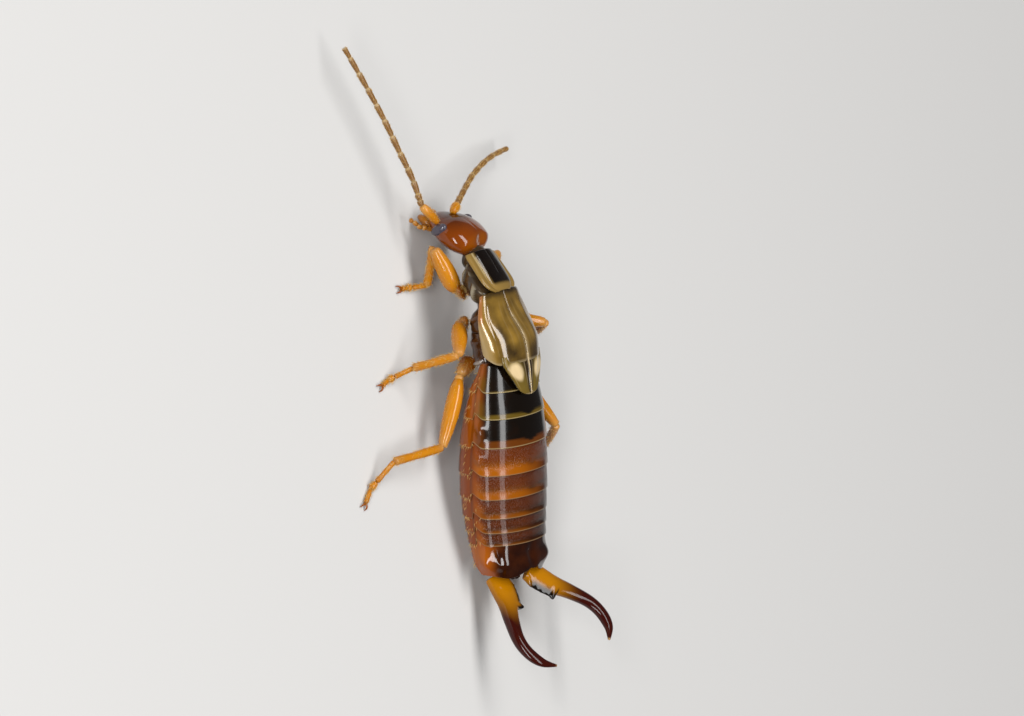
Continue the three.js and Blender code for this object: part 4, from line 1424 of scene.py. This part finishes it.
@dataclass
class Legs:
    """The six legs, of amber shell with paler joints."""

    legs: tuple[Leg, ...] = (
        Leg(
            "left_front", (0.3, -5.24, 1.62), (0.45, -5.16, 1.38), (1.66, 20, -3), (1.42, -168, -34),
            (1.56, -5.63), (-0.2, -0.12, -0.24), 1.14,
        ),
        Leg(
            "right_front", (-0.28, -5.24, 1.55), (-0.55, -5.2, 1.3), (1.55, -55, 8), (1.35, -125, -46),
            (-3.1, -5.7), stout=1.14,
        ),
        Leg(
            "left_middle", (0.46, -4.1, 1.6), (0.72, -4.22, 1.46), (1.7, 128, 26), (1.6, 104, -68),
            (3.42, -2.8),
        ),
        Leg(
            "right_middle", (-0.5, -4.1, 1.6), (-0.8, -4.1, 1.5), (1.85, -111, 40), (1.75, -128, -62),
            (-3.65, -2.3),
        ),
        Leg(
            "left_hind", (0.5, -3.0, 1.5), (1.12, -2.56, 1.4), (2.45, 150, -7), (2.03, 91, -11),
            (5.36, 0.66),
        ),
        Leg(
            "right_hind", (-0.55, -3.0, 1.48), (-1.25, -2.5, 1.36), (2.72, -151, 12), (1.98, -138, -54),
            (-3.15, 2.25),
        ),
    )
    foot_height: float = 0.1
    foot_joints: tuple[float, float] = (0.48, 0.66)
    coxa_radii: tuple[float, ...] = (0.2, 0.28, 0.22, 0.15)
    ring_radii: tuple[float, ...] = (0.13, 0.16, 0.14)
    femur_radii: tuple[float, ...] = (0.13, 0.24, 0.27, 0.25, 0.2, 0.14)
    tibia_radii: tuple[float, ...] = (0.12, 0.14, 0.14, 0.13, 0.14, 0.14)
    claw_radii: tuple[float, ...] = (0.04, 0.035, 0.012)
    claw_tip: Point = (0.22, 0.11, 0.035)
    claw_bow: Point = (0.13, 0.09, 0.015)
    bristles: tuple[Setae, ...] = (
        Setae(170, 0.12, 0.007, 0.8, seed=2),
        Setae(110, 0.07, 0.006, 1.4, seed=3),
        Setae(200, 0.1, 0.007, 1.2, seed=4),
        *(Setae(80, 0.09, 0.007, 1.1, seed=seed) for seed in (5, 6, 7)),
    )

    def make_leg(self, leg: Leg) -> None:
        """Makes the four pieces of one leg and its bristles.

        Args:
            leg: where it stands and how it is bent.
        """
        root, hip = np.array(leg.root), np.array(leg.hip)
        knee = leg.reach(hip, leg.femur)
        ankle = leg.reach(knee, leg.tibia)
        toe = np.array([*leg.foot, self.foot_height])
        broad = leg.stout**3 * np.array(self.coxa_radii)
        coxa = sweep([root, (root + hip) / 2, hip], broad, 30, 20, tone=[0.95, 0.8, 0.5], rim=[0, 0, 0.4])
        ends = [hip + (root - hip) * 0.05, hip + (knee - hip) * 0.1]
        ring = sweep(ends, self.ring_radii, 24, 14, tone=[0.5, 0.2], rim=[0.6, 0.2])
        thigh = [hip + (knee - hip) * 0.03, (hip + knee) / 2 + (0, 0, 0.03), knee]
        girth = leg.stout * np.array(self.femur_radii)
        tones = [0.3, 0.1, 0.1, 0.15, 0.45]
        femur = sweep(thigh, girth, 36, 40, 0.95, tone=tones, rim=[0, 0, 0, 0, 0.3])
        bend = knee + 0.5 * np.array(leg.fold)
        shin = [bend, (bend + ankle) / 2 + (0, 0, 0.05), ankle]
        tones = [0.5, 0.2, 0.1, 0.2, 0.4]
        tibia = sweep(shin, self.tibia_radii, 28, 40, tone=tones, rim=[0.3, 0, 0, 0, 0.2])
        joints = self.tarsus(ankle, toe)
        foot = joints[0].joined(*joints[1:])
        pieces = {"coxa": coxa.joined(ring), "femur": femur, "tibia": tibia, "tarsus": foot}
        for word, surface in pieces.items():
            node = f"leg_{leg.name}_{'foot' if word == 'tarsus' else word}"
            make_piece(f"{word}_{leg.name}", surface, LIMB_SHELL, [node])
        ways = [knee - hip] * 2 + [ankle - knee] + [toe - ankle] * 3
        skins = [coxa, femur, tibia, *joints[:3]]
        coats = [
            replace(hair, lie=tuple(way)).grow(skin) for hair, way, skin in zip(self.bristles, ways, skins)
        ]
        make_hairs(f"leg_hairs_{leg.name}", coats)

    def tarsus(self, ankle: Array, toe: Array) -> list[Surface]:
        """Shapes a foot.

        Args:
            ankle: where it starts.
            toe: where it stands on the floor.

        Returns:
            Its three joints and its two claws.
        """
        ahead = unit((toe - ankle) * (1, 1, 0))
        first, second = (ankle + (toe - ankle) * share for share in self.foot_joints)
        first[2] = max(first[2] * 0.6, self.foot_height)
        second[2] = self.foot_height
        back = second - ahead * 0.06
        runs = (
            ([ankle, (ankle + first) / 2, first], [0.085, 0.085, 0.08, 0.095], 20, 1.0, [0.3, 0.2, 0.5]),
            ([first, second], [0.07, 0.085, 0.1, 0.06], 14, 1.2, [0.4, 0.2, 0.5]),
            ([back, (second + toe) / 2, toe], [0.05, 0.07, 0.075, 0.085], 20, 1.0, [0.5, 0.2, 0.4]),
        )
        parts = [sweep(path, radii, 18, rings, flat, tone=tone) for path, radii, rings, flat, tone in runs]
        for side in Side:
            across = np.array([ahead[1], -ahead[0], 0.0]) * side.value
            tip = toe + ahead * self.claw_tip[0] + across * self.claw_tip[1]
            tip[2] = self.claw_tip[2]
            bow = toe + ahead * self.claw_bow[0] + across * self.claw_bow[1] + (0, 0, self.claw_bow[2])
            parts.append(sweep([toe, bow, tip], self.claw_radii, 10, 14, tone=[0.8, 1.0]))
        return parts

    def make(self) -> None:
        """Makes all six legs."""
        for leg in self.legs:
            self.make_leg(leg)


FEELERS = (
    Antenna(
        Side.LEFT,
        (
            (0.76, -7.56, 1.4), (1.29, -8.15, 1.38), (1.42, -9.04, 1.34), (1.74, -10.0, 1.3),
            (2.12, -11.1, 1.26), (2.57, -12.19, 1.22), (3.21, -13.61, 1.15),
        ),
        (0.24, 0.2, 0.36, 0.46, 0.52, 0.58, 0.56, 0.58, 0.55, 0.53, 0.48, 0.46),
    ),
    Antenna(
        Side.RIGHT,
        (
            (-0.14, -7.72, 1.4), (-0.5, -7.93, 1.35), (-1.17, -8.3, 1.2), (-2.04, -8.72, 1.0),
            (-3.22, -9.09, 0.8), (-4.45, -9.24, 0.6),
        ),
        (0.24, 0.2, 0.36, 0.46, 0.52, 0.58, 0.56, 0.58, 0.55, 0.5),
    ),
)


@dataclass(frozen=True)
class Lamp:
    """A soft box: where it stands as camera right, up and back, its millimetres and its watts."""

    name: str
    direction: Point
    away: float
    size: tuple[float, float]
    power: float


@dataclass
class Studio:
    """A pale floor, soft lights and the camera at the photograph's angle."""

    target: Point = (-1.312, 0.351, 2.183)
    azimuth: float = -5.03
    elevation: float = 39.576
    roll: float = 81.804
    distance: float = 200.0
    lens: float = 217.97
    sensor: float = 36
    sees: tuple[float, float] = (0.001, 10)
    floor_half: float = 0.6
    floor_colour: Point = (0.57, 0.56, 0.545)
    floor_roughness: float = 0.9
    air_colour: Point = (0.9, 0.93, 1.0)
    air_strength: float = 0.1
    lamps: tuple[Lamp, ...] = (
        Lamp("key_box", (-0.13, -0.06, 0.98), 190, (36, 150), 0.25),
        Lamp("high_box", (0.66, 0.2, 0.75), 170, (46, 260), 0.36),
        Lamp("fill_box", (-0.5, 0.75, 0.4), 220, (120, 120), 0.05),
    )

    def axes(self) -> Array:
        """Works out how the camera is turned.

        Returns:
            Its right, up and back directions as columns.
        """
        a, e, r = (math.radians(v) for v in (self.azimuth, self.elevation, self.roll))
        back = np.array([math.cos(e) * math.cos(a), math.cos(e) * math.sin(a), math.sin(e)])
        level = np.array([-math.sin(a), math.cos(a), 0.0])
        right = math.cos(r) * level + math.sin(r) * np.cross(back, level)
        return np.stack([right, np.cross(back, right), back], axis=1)

    def pose(self, axes: Array, away: float) -> Matrix:
        """Stands something so that it looks at the target.

        Args:
            axes: its directions as columns.
            away: how far it stands back along the third of them.

        Returns:
            Its place in the world.
        """
        spot = (np.array(self.target) + axes[:, 2] * away) * MM
        return Matrix.Translation(Vector(spot.tolist())) @ Matrix(axes.tolist()).to_4x4()

    def camera(self) -> None:
        """Sets the camera up."""
        data = bpy.data.cameras.new("camera")
        data.lens, data.sensor_width = self.lens, self.sensor
        data.clip_start, data.clip_end = self.sees
        eye = bpy.data.objects.new("camera", data)
        eye.matrix_world = self.pose(self.axes(), self.distance)
        bpy.context.collection.objects.link(eye)
        bpy.context.scene.camera = eye

    def light(self, lamp: Lamp) -> None:
        """Hangs one soft box.

        Args:
            lamp: where it stands, how large it is and how bright.
        """
        data = bpy.data.lights.new(lamp.name, "AREA")
        data.shape = "RECTANGLE"
        data.size, data.size_y = lamp.size[0] * MM, lamp.size[1] * MM
        data.energy = lamp.power
        axes = self.axes()
        way = axes @ unit(np.array(lamp.direction))
        across = unit(np.cross(axes[:, 1], way))
        box = bpy.data.objects.new(lamp.name, data)
        box.matrix_world = self.pose(np.stack([across, np.cross(way, across), way], axis=1), lamp.away)
        bpy.context.collection.objects.link(box)

    def floor(self) -> None:
        """Lays the floor."""
        mesh = bpy.data.meshes.new("floor")
        r = self.floor_half
        mesh.from_pydata([(-r, -r, 0), (r, -r, 0), (r, r, 0), (-r, r, 0)], [], [(0, 1, 2, 3)])
        plane = bpy.data.objects.new("floor", mesh)
        bpy.context.collection.objects.link(plane)
        material = bpy.data.materials.new("floor_paper")
        material.use_nodes = True
        looks = {"Base Color": (*self.floor_colour, 1), "Roughness": self.floor_roughness}
        feed(material.node_tree.nodes["Principled BSDF"], looks)
        mesh.materials.append(material)

    def make(self) -> None:
        """Sets the whole room up."""
        self.camera()
        self.floor()
        for lamp in self.lamps:
            self.light(lamp)
        world = bpy.data.worlds.new("room")
        world.use_nodes = True
        air = {"Color": (*self.air_colour, 1), "Strength": self.air_strength}
        feed(world.node_tree.nodes["Background"], air)
        bpy.context.scene.world = world
        bpy.context.scene.view_settings.view_transform = "Standard"


def main() -> None:
    """Builds the animal piece by piece, then the room round it."""
    for part in (Abdomen(), Forceps(), Thorax(), Prothorax(), Head(), *FEELERS, Legs(), Studio()):
        LOG.info("building %s", type(part).__name__)
        part.make()


if __name__ == "__main__":
    logging.basicConfig(level=logging.INFO, format="%(name)s: %(message)s")
    main()
